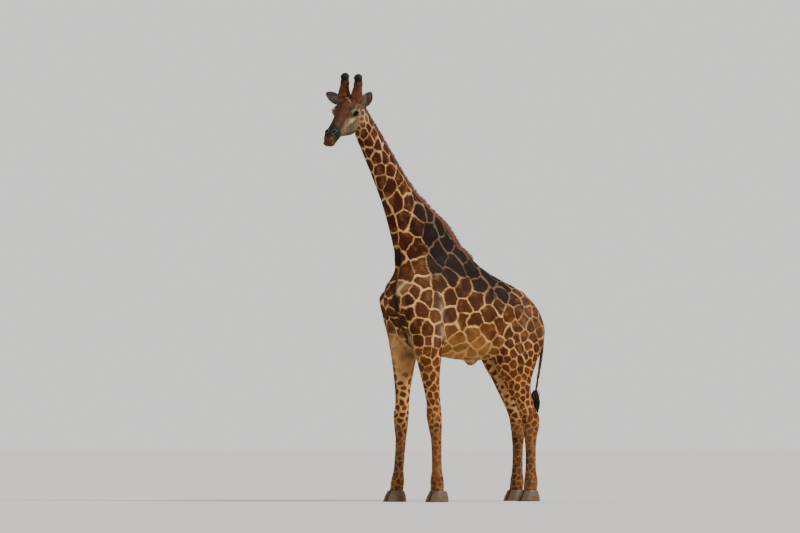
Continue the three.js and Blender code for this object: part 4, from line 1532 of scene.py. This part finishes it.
BALD = np.maximum(1 - rise(NOSTRILS, 1.15, 1.45), 0)
for side in EYES:
    BALD = np.maximum(BALD, (1 - rise(LIDS[side], 1.10, 1.35)) * (EYE_GAP[side] < 2))
knob_height = to_head(points)[:, 2]
BALD = np.maximum(BALD, HORN * rise(knob_height, KNOB_FOOT + 0.004, KNOB_FOOT + 0.010))
HAIRY = 1 - BALD
ring_of_hair = HORN * np.exp(-(((knob_height - KNOB_FOOT + 0.003) / 0.010) ** 2))
tuft_sizes[:, 1] *= 1 + 0.9 * ring_of_hair
tuft_sizes[:, 3] *= 1 + 2.2 * ring_of_hair
tuft_sizes[:, 1] *= 1 - 0.35 * FACE * rise(to_head(points)[:, 1], 0.55, 0.68)
body_place = to_body(points)
SIDE = {"left": body_place[:, 0] >= 0, "right": body_place[:, 0] < 0}


def owned_by(*names):
    """Which points of the skin are nearest to these parts."""
    return np.isin(OWNER, [FLESH.index(name) for name in names])


REGIONS = {}
for side, on_side in SIDE.items():
    trunk = owned_by("trunk", "sheath") & on_side
    y = body_place[:, 1]
    REGIONS[f"coat_shoulder_{side}"] = trunk & (y < -0.2)
    REGIONS[f"coat_barrel_{side}"] = trunk & (y >= -0.2) & (y < 0.5)
    REGIONS[f"coat_rump_{side}"] = trunk & (y >= 0.5)
    REGIONS[f"coat_neck_{side}"] = owned_by("neck") & on_side
    REGIONS[f"coat_foreleg_{side}"] = owned_by(f"foreleg_{side}")
    REGIONS[f"coat_hindleg_{side}"] = owned_by(f"hindleg_{side}")
    REGIONS[f"coat_horn_ear_{side}"] = owned_by(f"ear_{side}", f"ossicone_{side}")
REGIONS["coat_rump_left"] |= owned_by("tail") & SIDE["left"]
REGIONS["coat_rump_right"] |= owned_by("tail") & SIDE["right"]
REGIONS["coat_head"] = owned_by("head")


def unwrapped(mesh):
    """Lays the mesh out flat in islands, and gives the place of each corner of its triangles."""
    holder = bpy.data.objects.new("holder", mesh)
    bpy.context.scene.collection.objects.link(holder)
    bpy.context.view_layer.objects.active = holder
    holder.select_set(True)
    bpy.ops.object.mode_set(mode="EDIT")
    bpy.ops.mesh.select_all(action="SELECT")
    bpy.ops.uv.smart_project(angle_limit=math.radians(66), island_margin=0.003)
    bpy.ops.object.mode_set(mode="OBJECT")
    mesh.calc_loop_triangles()
    loops = values_of(mesh.loop_triangles, "loops", 3, np.int32)
    flat = values_of(mesh.uv_layers.active.uv, "vector", 2)
    bpy.data.objects.remove(holder)
    return flat[loops]


def region_mesh(mask):
    """The skin's faces of a region, as a mesh of its own, with the numbers of its points."""
    faces = triangles_of(skin)
    faces = faces[mask[faces[:, 0]]]
    used, renumbered = np.unique(faces, return_inverse=True)
    return mesh_from("region", points[used], renumbered.reshape(-1, 3)), used


# A tuft is a closed wedge: two corners at the root, one on its back and one at the tip.
WEDGE = np.array([[0, 2, 1], [1, 2, 3], [3, 2, 0], [0, 1, 3]])
WEDGE_LIGHT = np.array([0.80, 0.80, 1.0, 1.10])
WEDGE_SINK = 0.0010
WEDGE_FLAT = np.array([[-1, -1], [1, -1], [0, 0], [0, 1]]) * 0.0015


def tuft_ways(root, up, way, rng):
    """Which way each tuft lies along the skin: as its part does, with swirls and strays."""
    swirl = np.column_stack([noise(root, 0.09, seed) for seed in (21, 22, 23)])
    way = way + 0.22 * swirl + 0.13 * rng.normal(size=root.shape)
    return unit(way - (way * up).sum(1)[:, None] * up)


def tuft_colours(spots, here, rng):
    """The colours of the tufts as the patches have them at these spots."""
    size, width, ground, plain = (here(plan[name]) for name in ("size", "width", "ground", "dark"))
    even = here(EVEN)
    stray = 0.06 * rng.normal(size=len(size))
    light = (1 + 0.10 * rng.normal(size=len(size)))[:, None].clip(0.7, 1.3)
    colours = []
    for spot in spots:
        line, owner = patch_edges(spot, size, width, MIDDLES, TREE)
        dark = patch_paint(spot, plain, owner, even)
        colours.append(mix(ground, dark, rise(line + stray, *LINE_EDGE)) * light)
    return colours


def coat_piece(name, mask, material, rng):
    """The tufts of one region as one mesh of small closed wedges lying along the skin."""
    patch, used = region_mesh(mask)
    flat = unwrapped(patch)
    density = HAIRY[used] / tuft_sizes[used, 0] ** 2
    triangles, chosen, shares = scatter(patch, None, rng, density)
    count, corners = len(chosen), triangles[chosen]

    def here(values):
        return blend_at(values[used], corners, shares)

    root = blend_at(points_of(patch), corners, shares)
    up = unit(here(normals))
    way = tuft_ways(root, up, here(lie), rng)
    side = np.cross(up, way)
    _, long, broad, lift = here(tuft_sizes).T
    long = long * rng.uniform(0.75, 1.2, count)
    lift = lift * rng.uniform(0.5, 1.3, count) * (1 + 0.35 * noise(root, 0.05, 24))
    ends = tuft_colours((root, root + way * (0.7 * long)[:, None]), here, rng)

    half, sink = side * (broad / 2)[:, None], up * WEDGE_SINK
    back = root + way * (0.40 * long)[:, None] + up * (0.45 * lift + 0.0006)[:, None]
    tip = root + way * long[:, None] + up * lift[:, None]
    wedge = np.stack([root - half - sink, root + half - sink, back, tip], axis=1)
    faces = (np.arange(count)[:, None, None] * 4 + WEDGE).reshape(-1, 3)
    mesh = mesh_from(name, wedge.reshape(-1, 3), faces)
    tinted = np.stack([ends[0], ends[0], 0.5 * (ends[0] + ends[1]), ends[1]], axis=1)
    tinted = tinted * WEDGE_LIGHT[None, :, None]
    add_colour(mesh, "coat", tinted.reshape(-1, 3).clip(0, 1))
    middle = np.einsum("nk,nkc->nc", shares, flat[chosen])
    lay_flat(mesh, (middle[:, None, :] + WEDGE_FLAT)[:, WEDGE])

    soft = unit(up[:, None, :] + 0.25 * np.stack([-side, side, way * 0, way], axis=1))
    smooth(mesh)
    mesh.normals_split_custom_set_from_vertices(soft.reshape(-1, 3).astype(np.float32))
    piece = object_of(name, mesh, material)
    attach(piece, "root")


def hair_material(name, rough, grain, glint):
    """Colour from the mesh, varied by fine noise that also sets roughness and bump."""
    made, nodes, links, place = new_material(name, glint)
    read = read_of(nodes, "coat")
    fine = noise_node(nodes, links, place, grain, 4)
    slow = noise_node(nodes, links, place, 9, 3)
    light = ranged(nodes, links, fine, *GRAIN, 0.84, 1.14)
    dust = ranged(nodes, links, slow, *GRAIN, 0.93, 1.07)
    product = math_node(nodes, links, "MULTIPLY", light)
    links.new(dust, product.inputs[1])
    shade(nodes, links, read.outputs["Color"], product.outputs["Value"])
    roughen(nodes, links, fine, rough - 0.08, rough + 0.08)
    add_bump(nodes, links, fine, 0.4, 0.0006)
    return made


COAT = hair_material("coat", 0.68, 900, 0.12)
for name, mask in REGIONS.items():
    coat_piece(name, mask, COAT, rng)

# ------------------------------------------------------------------ long hair


def strands(name, courses, widths, colours, material):
    """Closed three-sided strands: courses is strands x knots x 3, ending in a point."""
    count, knots, _ = courses.shape
    run = unit(np.gradient(courses, axis=1))
    aside = unit(np.cross(run, np.array([0.31, 0.17, 0.93])))
    over = np.cross(run, aside)
    rings = []
    for corner in range(3):
        turn = corner * math.tau / 3
        out = math.cos(turn) * aside[:, :-1] + math.sin(turn) * over[:, :-1]
        rings.append(courses[:, :-1] + widths[:, :-1, None] * out)
    body = np.stack(rings, axis=2).reshape(count, (knots - 1) * 3, 3)
    places = np.concatenate([body, courses[:, -1:]], axis=1)
    faces = [[0, 2, 1]]
    for ring in range(knots - 2):
        for corner in range(3):
            here, beside = ring * 3 + corner, ring * 3 + (corner + 1) % 3
            faces += [[here, beside, here + 3], [beside, beside + 3, here + 3]]
    last, tip = (knots - 2) * 3, (knots - 1) * 3
    faces += [[last + corner, last + (corner + 1) % 3, tip] for corner in range(3)]
    faces = (np.arange(count)[:, None, None] * (tip + 1) + np.array(faces)).reshape(-1, 3)
    mesh = mesh_from(name, places.reshape(-1, 3), faces)
    ringed = np.concatenate([np.repeat(colours[:, :-1], 3, axis=1), colours[:, -1:]], axis=1)
    add_colour(mesh, "coat", ringed.reshape(-1, 3).clip(0, 1))
    smooth(mesh)
    block = int(math.ceil(math.sqrt(count)))
    place = np.stack([np.arange(count) % block, np.arange(count) // block], axis=1) / block
    corner_at = np.array([[0.15, 0.1], [0.85, 0.1], [0.5, 0.9]]) / block
    lay_flat(mesh, np.repeat(place, len(faces) // count, axis=0)[:, None, :] + corner_at)
    piece = object_of(name, mesh, material)
    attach(piece, "root")
    return piece


MANE_REACH = 0.052
MANE_SEEDS = 30000
MANE_LIE = np.array([0, 0.80, 0.60])
MANE_DROOP = np.array([0, 0.55, -0.84])
# How long and how light the mane is, by height.
MANE_LENGTH = ((3.0, 3.5, 4.2), (1.30, 1.26, 1.0))
MANE_LIGHT = ((3.6, 4.4), (1.10, 0.66))
TAIL_LOCKS, HAIRS_IN_LOCK, TAIL_KNOTS = 34, 22, 10
# Upper and lower lashes: is it the upper lid, how many, how long, and how curled.
LASHES = ((True, 120, 0.026, 0.38), (False, 40, 0.011, -0.20))
WHISKERS, HAIRS_IN_EAR = 150, 450


def roots_on(mask, count, rng):
    """Random places on part of the skin, and the way out of the skin at each."""
    patch, used = region_mesh(mask)
    triangles, chosen, weights = scatter(patch, count, rng)
    corners = triangles[chosen]
    up = unit(blend_at(normals[used], corners, weights))
    return blend_at(points_of(patch), corners, weights), up


def one_colour(colour, count, share):
    """The same colour for every knot of every strand."""
    return np.tile(colour, (count, len(share), 1))


def straight(root, way, reach, share):
    """Straight courses from the roots, with knots at these shares of their length."""
    return root[:, None] + way[:, None] * (reach[:, None] * share)[..., None]


def mane_piece(rng):
    """Stiff upright hair from the poll to the withers, filling the mane's own shape."""
    tree = node_tree("mane")
    near = np.zeros(len(points), bool)
    low, high = (np.array(corner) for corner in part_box("mane"))
    inside = ((points > low - 0.05) & (points < high + 0.05)).all(1)
    for k in np.flatnonzero(inside):
        near[k] = tree.find_nearest(points[k])[3] < MANE_REACH
    root, up = roots_on(near, MANE_SEEDS, rng)
    way = unit(0.35 * up + MANE_LIE + 0.05 * rng.normal(size=root.shape))
    long = np.zeros(len(root))
    for k, (place, heading) in enumerate(zip(root, way)):
        hit = tree.ray_cast(Vector(place + heading * 0.5), Vector(-heading), 0.5)
        long[k] = 0 if hit[0] is None else 0.5 - hit[3]
    aslant = (long <= 0.010) & (rng.random(len(root)) < 0.55)
    for k in np.flatnonzero(aslant):
        gap = tree.find_nearest(root[k])[3]
        long[k] = 0.060 - 0.8 * gap
    way[aslant] = unit(way[aslant] + 0.35 * up[aslant])
    kept = long > 0.016
    root, way, long = root[kept], way[kept], long[kept]
    count, share = len(root), np.linspace(0, 1, 3)
    clump = noise(root, 0.030, 31)
    long = long * (0.88 + 0.12 * rng.random(count)) * (1 - 0.12 * np.abs(clump))
    long = long * (1 + 0.38 * np.maximum(noise(root, 0.030, 34), 0))
    long = long * np.interp(root[:, 2], *MANE_LENGTH)
    lean = (0.10 + 0.08 * clump)[:, None, None] * long[:, None, None]
    lean = lean * share[None, :, None] ** 2 * MANE_DROOP
    rise_by = (long + 0.006)[:, None, None] * share[None, :, None]
    course = root[:, None] - way[:, None] * 0.006 + way[:, None] * rise_by + lean
    thick = 0.0034 * rng.uniform(0.7, 1.2, count)[:, None] * (1 - 0.70 * share[None, :] ** 1.5)
    tint = mix(HUE["mane root"], HUE["mane"], rise(share, 0.0, 0.4))
    tint = mix(tint, HUE["mane tip"], rise(share, 0.72, 1.0))
    light = rng.uniform(0.75, 1.25, count) * (1 + 0.25 * noise(root, 0.10, 33))
    light = light * np.interp(root[:, 2], *MANE_LIGHT)
    piece = strands("mane_hair", course, thick, tint[None] * light[:, None, None], HAIR)
    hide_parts("mane")


def tail_piece(rng):
    """The long dark hair that hangs from the end of the tail, in wavy locks."""
    low, high = (np.array(corner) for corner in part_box("tail_tuft"))
    middle, top = (low + high) / 2, high[2]
    share = np.linspace(0, 1, TAIL_KNOTS)
    lock_turn = rng.uniform(0, math.tau, TAIL_LOCKS)
    lock_out = np.sqrt(rng.random(TAIL_LOCKS))
    lock_end = low[2] + 0.20 * rng.random(TAIL_LOCKS) ** 1.6
    lock_wave = rng.uniform(0, math.tau, TAIL_LOCKS)
    of = np.repeat(np.arange(TAIL_LOCKS), HAIRS_IN_LOCK)
    count, wave = len(of), lock_wave[of][:, None]
    stray = rng.normal(size=(count, 2))
    start = top + rng.uniform(-0.03, 0.05, count) * lock_out[of]
    end = lock_end[of] + rng.uniform(-0.015, 0.03, count)
    end = np.maximum(end, low[2])
    height = start[:, None] + (end - start)[:, None] * share
    radius = 0.012 + 0.034 * np.sin(math.pi * np.minimum(share**0.7, 0.94))
    turn = lock_turn[of][:, None] + 0.7 * share[None] + 0.25 * np.sin(6 * share[None] + wave)
    spread = lock_out[of][:, None] * radius[None] * (1 + 0.2 * np.sin(9 * share[None] + wave))
    loose = (0.0022 + 0.006 * (1 - share) ** 2 + 0.004 * share**3)[None]
    x = middle[0] + spread * np.cos(turn) + stray[:, :1] * loose
    y = middle[1] + spread * np.sin(turn) + stray[:, 1:] * loose
    x = x.clip(low[0] - 0.004, high[0] + 0.004)
    y = y.clip(low[1] - 0.004, high[1] + 0.004)
    thick = 0.0021 * rng.uniform(0.6, 1.2, count)[:, None] * (1 - 0.75 * share[None] ** 2)
    tint = one_colour(HUE["tail hair"], count, share) * rng.uniform(0.6, 1.9, count)[:, None, None]
    piece = strands("tail_hair", np.stack([x, y, height], axis=2), thick, tint, HAIR)
    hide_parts("tail_tuft")


def rim_strands(side, count, rng, upper):
    """Roots on the edge of an upper or lower lid, and where on the lids each one is."""
    turn = np.sort(rng.uniform(0.10, 0.90, count)) * math.pi * (1 if upper else -1)
    high = LID_OVER if upper else LID_UNDER
    flat = np.column_stack([LID_ACROSS * np.cos(turn), high * np.sin(turn)])
    tilted = np.column_stack(
        [
            flat[:, 0] * math.cos(LID_TILT) + flat[:, 1] * math.sin(LID_TILT),
            -flat[:, 0] * math.sin(LID_TILT) + flat[:, 1] * math.cos(LID_TILT),
        ]
    )
    out = np.sqrt(np.clip(1.06**2 - (tilted**2).sum(1), 0.05, 2))
    spot = np.column_stack([tilted[:, 0] * HAND[side], tilted[:, 1], out])
    root = middle_of(f"eye_{side}") + EYE_RADIUS * spot @ GAZE[side]
    return root, tilted * np.array([HAND[side], 1])


def lash_piece(rng):
    """Long lashes that leave the lids straight out and curl up at the ends."""
    courses, widths = [], []
    share = np.linspace(0, 1, 6)
    for side in EYES:
        level, above, gaze = GAZE[side]
        for upper, count, long, curl in LASHES:
            root, flat = rim_strands(side, count, rng, upper)
            reach = long * rng.uniform(0.7, 1.1, count) * (1 - 0.45 * flat[:, 0] ** 2)
            fan = 0.48 * flat[:, :1] * level + (0.10 if upper else -0.35) * above
            way = unit(gaze + fan + 0.08 * rng.normal(size=(count, 3)))
            sweep = curl * (share**2)[None, :, None] * reach[:, None, None] * above
            sag = -0.28 * (share * (1 - share))[None, :, None] * reach[:, None, None] * above
            courses.append(straight(root, way, reach, share) + sweep + sag * upper)
            thick = 0.00058 * rng.uniform(0.8, 1.2, count)[:, None]
            widths.append(thick * (1 - 0.8 * share[None] ** 2))
    course, thick = np.concatenate(courses), np.concatenate(widths)
    tint = one_colour(HUE["lashes"], len(course), share)
    strands("lashes", course, thick, tint, HAIR)


def whisker_piece(rng):
    """Sparse stiff hairs on the lips and chin."""
    local = to_head(points)
    around = (local[:, 1] > 0.66) & (local[:, 2] < -0.005) & (SHARE["head"] > 0.9)
    around &= rise(NOSTRILS, 1.8, 2.2) > 0.5
    root, up = roots_on(around, WHISKERS, rng)
    share = np.linspace(0, 1, 5)
    reach = rng.uniform(0.014, 0.034, len(root))
    way = unit(up + 0.35 * rng.normal(size=root.shape) * 0.6 - np.array([0, 0, 0.25]))
    sag = np.array([0, 0, -0.25]) * (share**2)[None, :, None] * reach[:, None, None]
    thick = 0.00050 * np.ones((len(root), 1)) * (1 - 0.75 * share[None])
    light = rng.uniform(0.6, 2.2, len(root))[:, None, None]
    tint = one_colour(HUE["whiskers"], len(root), share) * light
    strands("whiskers", straight(root, way, reach, share) + sag, thick, tint, HAIR)


def ear_hair_piece(rng):
    """Longer soft hair inside the ears and along their edges."""
    courses, widths, tints = [], [], []
    share = np.linspace(0, 1, 5)
    for name in EARS:
        open_side = (SHARE[name] > 0.6) & (normals @ EAR_OPENING > 0.15)
        root, up = roots_on(open_side, HAIRS_IN_EAR, rng)
        reach = rng.uniform(0.016, 0.036, len(root))
        way = unit(LIE_OF_EAR[name] + 0.22 * up + 0.14 * rng.normal(size=root.shape))
        bend = -0.30 * (share**2)[None, :, None] * reach[:, None, None] * up[:, None]
        courses.append(straight(root, way, reach, share) + bend)
        thick = 0.00050 * rng.uniform(0.7, 1.2, len(root))[:, None]
        widths.append(thick * (1 - 0.8 * share[None]))
        light = rng.uniform(0.5, 1.3, len(root))[:, None, None]
        tints.append(one_colour(HUE["ear hair"], len(root), share) * light)
    course, thick, tint = (np.concatenate(part) for part in (courses, widths, tints))
    strands("ear_hair", course, thick, tint, HAIR)


HAIR = hair_material("long_hair", 0.58, 700, 0.3)
mane_piece(rng)
tail_piece(rng)
lash_piece(rng)
whisker_piece(rng)
ear_hair_piece(rng)

# ------------------------------------------------------------------ horn knobs, eyes and hooves


KNOB_SWELL, KNOB_TUCK = 0.0085, 0.0055
KNOB_GROWTH, KNOB_CELL = 0.0020, 0.0042
HOOF_GROWTH, HOOF_CELL, SOLE = 0.0012, 0.0056, 0.004
RINGS_OF_HOOF = {"Scale": 30, "Distortion": 5.0, "Detail": 3.0, "Detail Scale": 2.0}


def knob_material():
    """Worn dark skin over bone: bald, wrinkled and a little shiny on top."""
    made, nodes, links, place = new_material("horn_knob", 0.16)
    coarse = noise_node(nodes, links, place, 42, 6)
    fine = noise_node(nodes, links, place, 320, 5)
    colour = ramped(nodes, links, coarse, (0.36, 0.68), (HUE["knob, dark"], HUE["knob"]))
    links.new(colour, nodes[SHADER].inputs["Base Color"])
    roughen(nodes, links, fine, 0.50, 0.70)
    add_bump(nodes, links, fine, 0.55, 0.0022)
    return made


def knob_piece(side, material):
    """The bald knob of a horn, set just outside the skin of the shaft."""
    surface = remeshed(grown([f"ossicone_{side}"], KNOB_GROWTH), KNOB_CELL)
    relax(surface, 12)
    plane = (on_head([0, 0, KNOB_FOOT]), HEAD_UP)
    mesh = cut(surface, plane, 1, KNOB_CELL)
    places = points_of(mesh)
    height = (to_head(places)[:, 2] - KNOB_FOOT) * HEAD_SIZE
    middle = places[height < 0.03].mean(0)
    aside = places - middle
    aside -= (aside @ HEAD_UP)[:, None] * HEAD_UP
    tuck = 1 - rise(height, 0.004, 0.016)
    places -= unit(aside) * (KNOB_TUCK * tuck)[:, None]
    places += unit(aside) * (KNOB_SWELL * np.exp(-(((height - 0.042) / 0.030) ** 2)))[:, None]
    move_points(mesh, places)
    wrinkle = 0.0013 * noise(places, 0.016, 61) + 0.0006 * noise(places, 0.006, 62)
    move_points(mesh, places + normals_of(mesh) * wrinkle[:, None])
    smooth(mesh)
    piece = object_of(f"knob_{side}", mesh, material)
    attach(piece, "root")
    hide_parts(f"ossicone_{side}")


def ball(rows, columns):
    """The points and triangles of a ball of radius 1, with its poles along the last axis."""
    polar = np.linspace(0, math.pi, rows + 1)[1:-1]
    turn = np.arange(columns) * math.tau / columns
    grid = np.stack(
        [
            np.sin(polar)[:, None] * np.cos(turn)[None],
            np.sin(polar)[:, None] * np.sin(turn)[None],
            np.repeat(np.cos(polar)[:, None], columns, axis=1),
        ],
        axis=2,
    ).reshape(-1, 3)
    grid = np.vstack([grid, [[0, 0, 1], [0, 0, -1]]])
    faces = []
    for row in range(rows - 2):
        for column in range(columns):
            beside = (column + 1) % columns
            here, under = row * columns, (row + 1) * columns
            faces.append([here + column, under + column, under + beside])
            faces.append([here + column, under + beside, here + beside])
    top, base, last = len(grid) - 2, len(grid) - 1, (rows - 2) * columns
    for column in range(columns):
        beside = (column + 1) % columns
        faces.append([top, column, beside])
        faces.append([base, last + beside, last + column])
    return grid, np.array(faces)


def eye_piece(side):
    """A wet dark eyeball with a wide level pupil."""
    level, above, gaze = GAZE[side]
    grid, faces = ball(60, 96)
    angle = np.arccos(grid[:, 2].clip(-1, 1))
    swollen = 1 + 0.035 * np.exp(-((angle / 0.55) ** 4))
    places = middle_of(f"eye_{side}") + EYE_RADIUS * 0.985 * swollen[:, None] * (
        grid[:, :1] * level + grid[:, 1:2] * above + grid[:, 2:] * gaze
    )
    mesh = mesh_from(f"eyeball_{side}", places, faces)
    across, high = grid[:, 0], grid[:, 1]
    pupil = rise(np.sqrt((across / 0.36) ** 2 + (high / 0.17) ** 2), 0.85, 1.05)
    ring = np.hypot(across, high)
    streak = 0.8 + 0.2 * np.sin(np.arctan2(high, across) * 37)
    iris = mix(HUE["iris"], HUE["iris, outer"], rise(ring, 0.30, 0.58)) * streak[:, None]
    colour = layered(HUE["pupil"], (iris, pupil), (HUE["eye edge"], rise(ring, 0.60, 0.66)))
    colour[grid[:, 2] < 0] = HUE["eye back"]
    add_colour(mesh, "eye", colour)
    smooth(mesh)
    piece = object_of(f"eyeball_{side}", mesh, EYE)
    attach(piece, "root")
    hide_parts(f"eye_{side}")


def eye_material():
    """Dark iris under a wet clear coat."""
    made, nodes, links, place = new_material("eye", 0.02)
    nodes[SHADER].inputs["Coat Weight"].default_value = 0.10
    nodes[SHADER].inputs["Coat Roughness"].default_value = 0.02
    read = read_of(nodes, "eye")
    flecks = noise_node(nodes, links, place, 480, 3)
    shade(nodes, links, read.outputs["Color"], ranged(nodes, links, flecks, *GRAIN, 0.8, 1.15))
    roughen(nodes, links, flecks, 0.10, 0.18)
    add_bump(nodes, links, flecks, 0.05, 0.0002)
    return made


def hoof_material():
    """Horn with level growth rings, stained by the ground."""
    made, nodes, links, place = new_material("hoof")
    rings = nodes.new("ShaderNodeTexWave")
    rings.bands_direction = "Z"
    for field, number in RINGS_OF_HOOF.items():
        rings.inputs[field].default_value = number
    links.new(place, rings.inputs["Vector"])
    stain = noise_node(nodes, links, place, 34, 6)
    blend = math_node(nodes, links, "MULTIPLY_ADD", rings.outputs["Fac"])
    blend.inputs[1].default_value = 0.16
    scale = math_node(nodes, links, "MULTIPLY", stain)
    scale.inputs[1].default_value = 0.9
    links.new(scale.outputs["Value"], blend.inputs[2])
    height = blend.outputs["Value"]
    colour = ramped(nodes, links, height, (0, 1), (HUE["hoof, dark"], HUE["hoof"]))
    links.new(colour, nodes[SHADER].inputs["Base Color"])
    add_bump(nodes, links, height, 0.3, 0.0016)
    roughen(nodes, links, stain, 0.42, 0.62)
    return made


def hoof_piece(node, material):
    """One claw: rounded edges, a flat sole on the floor."""
    mesh = remeshed(grown([node], HOOF_GROWTH), HOOF_CELL)
    relax(mesh, 5, push=0)
    relax(mesh, 16)
    places = points_of(mesh)
    up = places[:, 2]
    ring = 0.0007 * np.sin(up * 420 + 2.5 * noise(places, 0.05, 64))
    out = ring * rise(up, 0.01, 0.03) + 0.0006 * noise(places, 0.018, 63)
    places += normals_of(mesh) * out[:, None]
    places[:, 2] = np.where(places[:, 2] < SOLE, 0, places[:, 2])
    move_points(mesh, places)
    smooth(mesh)
    piece = object_of(node.replace("hoof", "claw"), mesh, material)
    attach(piece, "root")
    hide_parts(node)


EYE = eye_material()
HOOF = hoof_material()
KNOB = knob_material()
for side in EYES:
    eye_piece(side)
    knob_piece(side, KNOB)
for node in HOOVES:
    hoof_piece(node, HOOF)

# ------------------------------------------------------------------ stage

VIEW_TURN = math.radians(56)
VIEW_DISTANCE = 55.0
VIEW_HEIGHT = 0.7
VIEW_PITCH = math.radians(2.255)
VIEW_ASIDE = -0.671
SENSOR = 36.0
LENS = 202.95
SKY_LIGHT = 1.0
SKY_COLOUR = (1.0, 0.985, 0.965)
FLOOR = np.array([[-400, -400, 0], [400, -400, 0], [400, 400, 0], [-400, 400, 0]], float)
FLOOR_COLOURS = ((0.482, 0.477, 0.467), (0.506, 0.501, 0.491))
# Each lamp: towards the right, the camera and up, then power, softness in degrees and colour.
LAMPS = (
    ("key", (0.78, 0.34, 0.74), 4.4, 6, (1.0, 0.965, 0.91)),
    ("fill", (-0.80, 0.60, 0.45), 0.40, 40, (0.96, 0.98, 1.0)),
)


def set_camera(aside, away):
    """The photo's camera, by which way is to its right and which way it stands."""
    camera = bpy.data.cameras.new("camera")
    camera.lens = LENS
    camera.sensor_width = SENSOR
    camera.clip_end = 1000
    look = -away * math.cos(VIEW_PITCH) + np.array([0, 0, math.sin(VIEW_PITCH)])
    holder = aimed("camera", camera, look)
    place = BODY_ZERO + aside * VIEW_ASIDE + away * VIEW_DISTANCE
    holder.location = place + np.array([0, 0, VIEW_HEIGHT])
    bpy.context.scene.camera = holder


def aimed(name, data, look):
    """A camera or lamp in the scene, looking that way."""
    holder = bpy.data.objects.new(name, data)
    bpy.context.scene.collection.objects.link(holder)
    holder.rotation_mode = "QUATERNION"
    holder.rotation_quaternion = Vector(look).to_track_quat("-Z", "Y")
    return holder


def lamp(name, heading, power, soft, colour):
    """A sun that shines from that heading."""
    light = bpy.data.lights.new(name, "SUN")
    light.energy = power
    light.angle = math.radians(soft)
    light.color = colour
    stand = aimed(name, light, -heading)
    stand.location = Vector(heading * 8)
    return stand


def floor_material():
    """A dull pale floor, hardly uneven in colour."""
    made, nodes, links, place = new_material("floor", 0.0)
    colour = ramped(nodes, links, noise_node(nodes, links, place, 3, 4), (0, 1), FLOOR_COLOURS)
    links.new(colour, nodes[SHADER].inputs["Base Color"])
    nodes[SHADER].inputs["Roughness"].default_value = 0.95
    return made


def set_stage():
    """A pale floor, soft light and the camera, low and far in front of the left shoulder."""
    aside = np.array([math.cos(VIEW_TURN), math.sin(VIEW_TURN), 0])
    away = np.array([math.sin(VIEW_TURN), -math.cos(VIEW_TURN), 0])
    set_camera(aside, away)
    object_of("floor", mesh_from("floor", FLOOR, np.array([[0, 1, 2, 3]])), floor_material())
    world = bpy.data.worlds.new("sky")
    bpy.context.scene.world = world
    world.use_nodes = True
    sky = world.node_tree.nodes["Background"]
    sky.inputs["Color"].default_value = (*SKY_COLOUR, 1)
    sky.inputs["Strength"].default_value = SKY_LIGHT
    for name, (towards_right, towards_camera, up), power, soft, colour in LAMPS:
        heading = aside * towards_right + away * towards_camera + np.array([0, 0, up])
        lamp(name, heading, power, soft, colour)


set_stage()
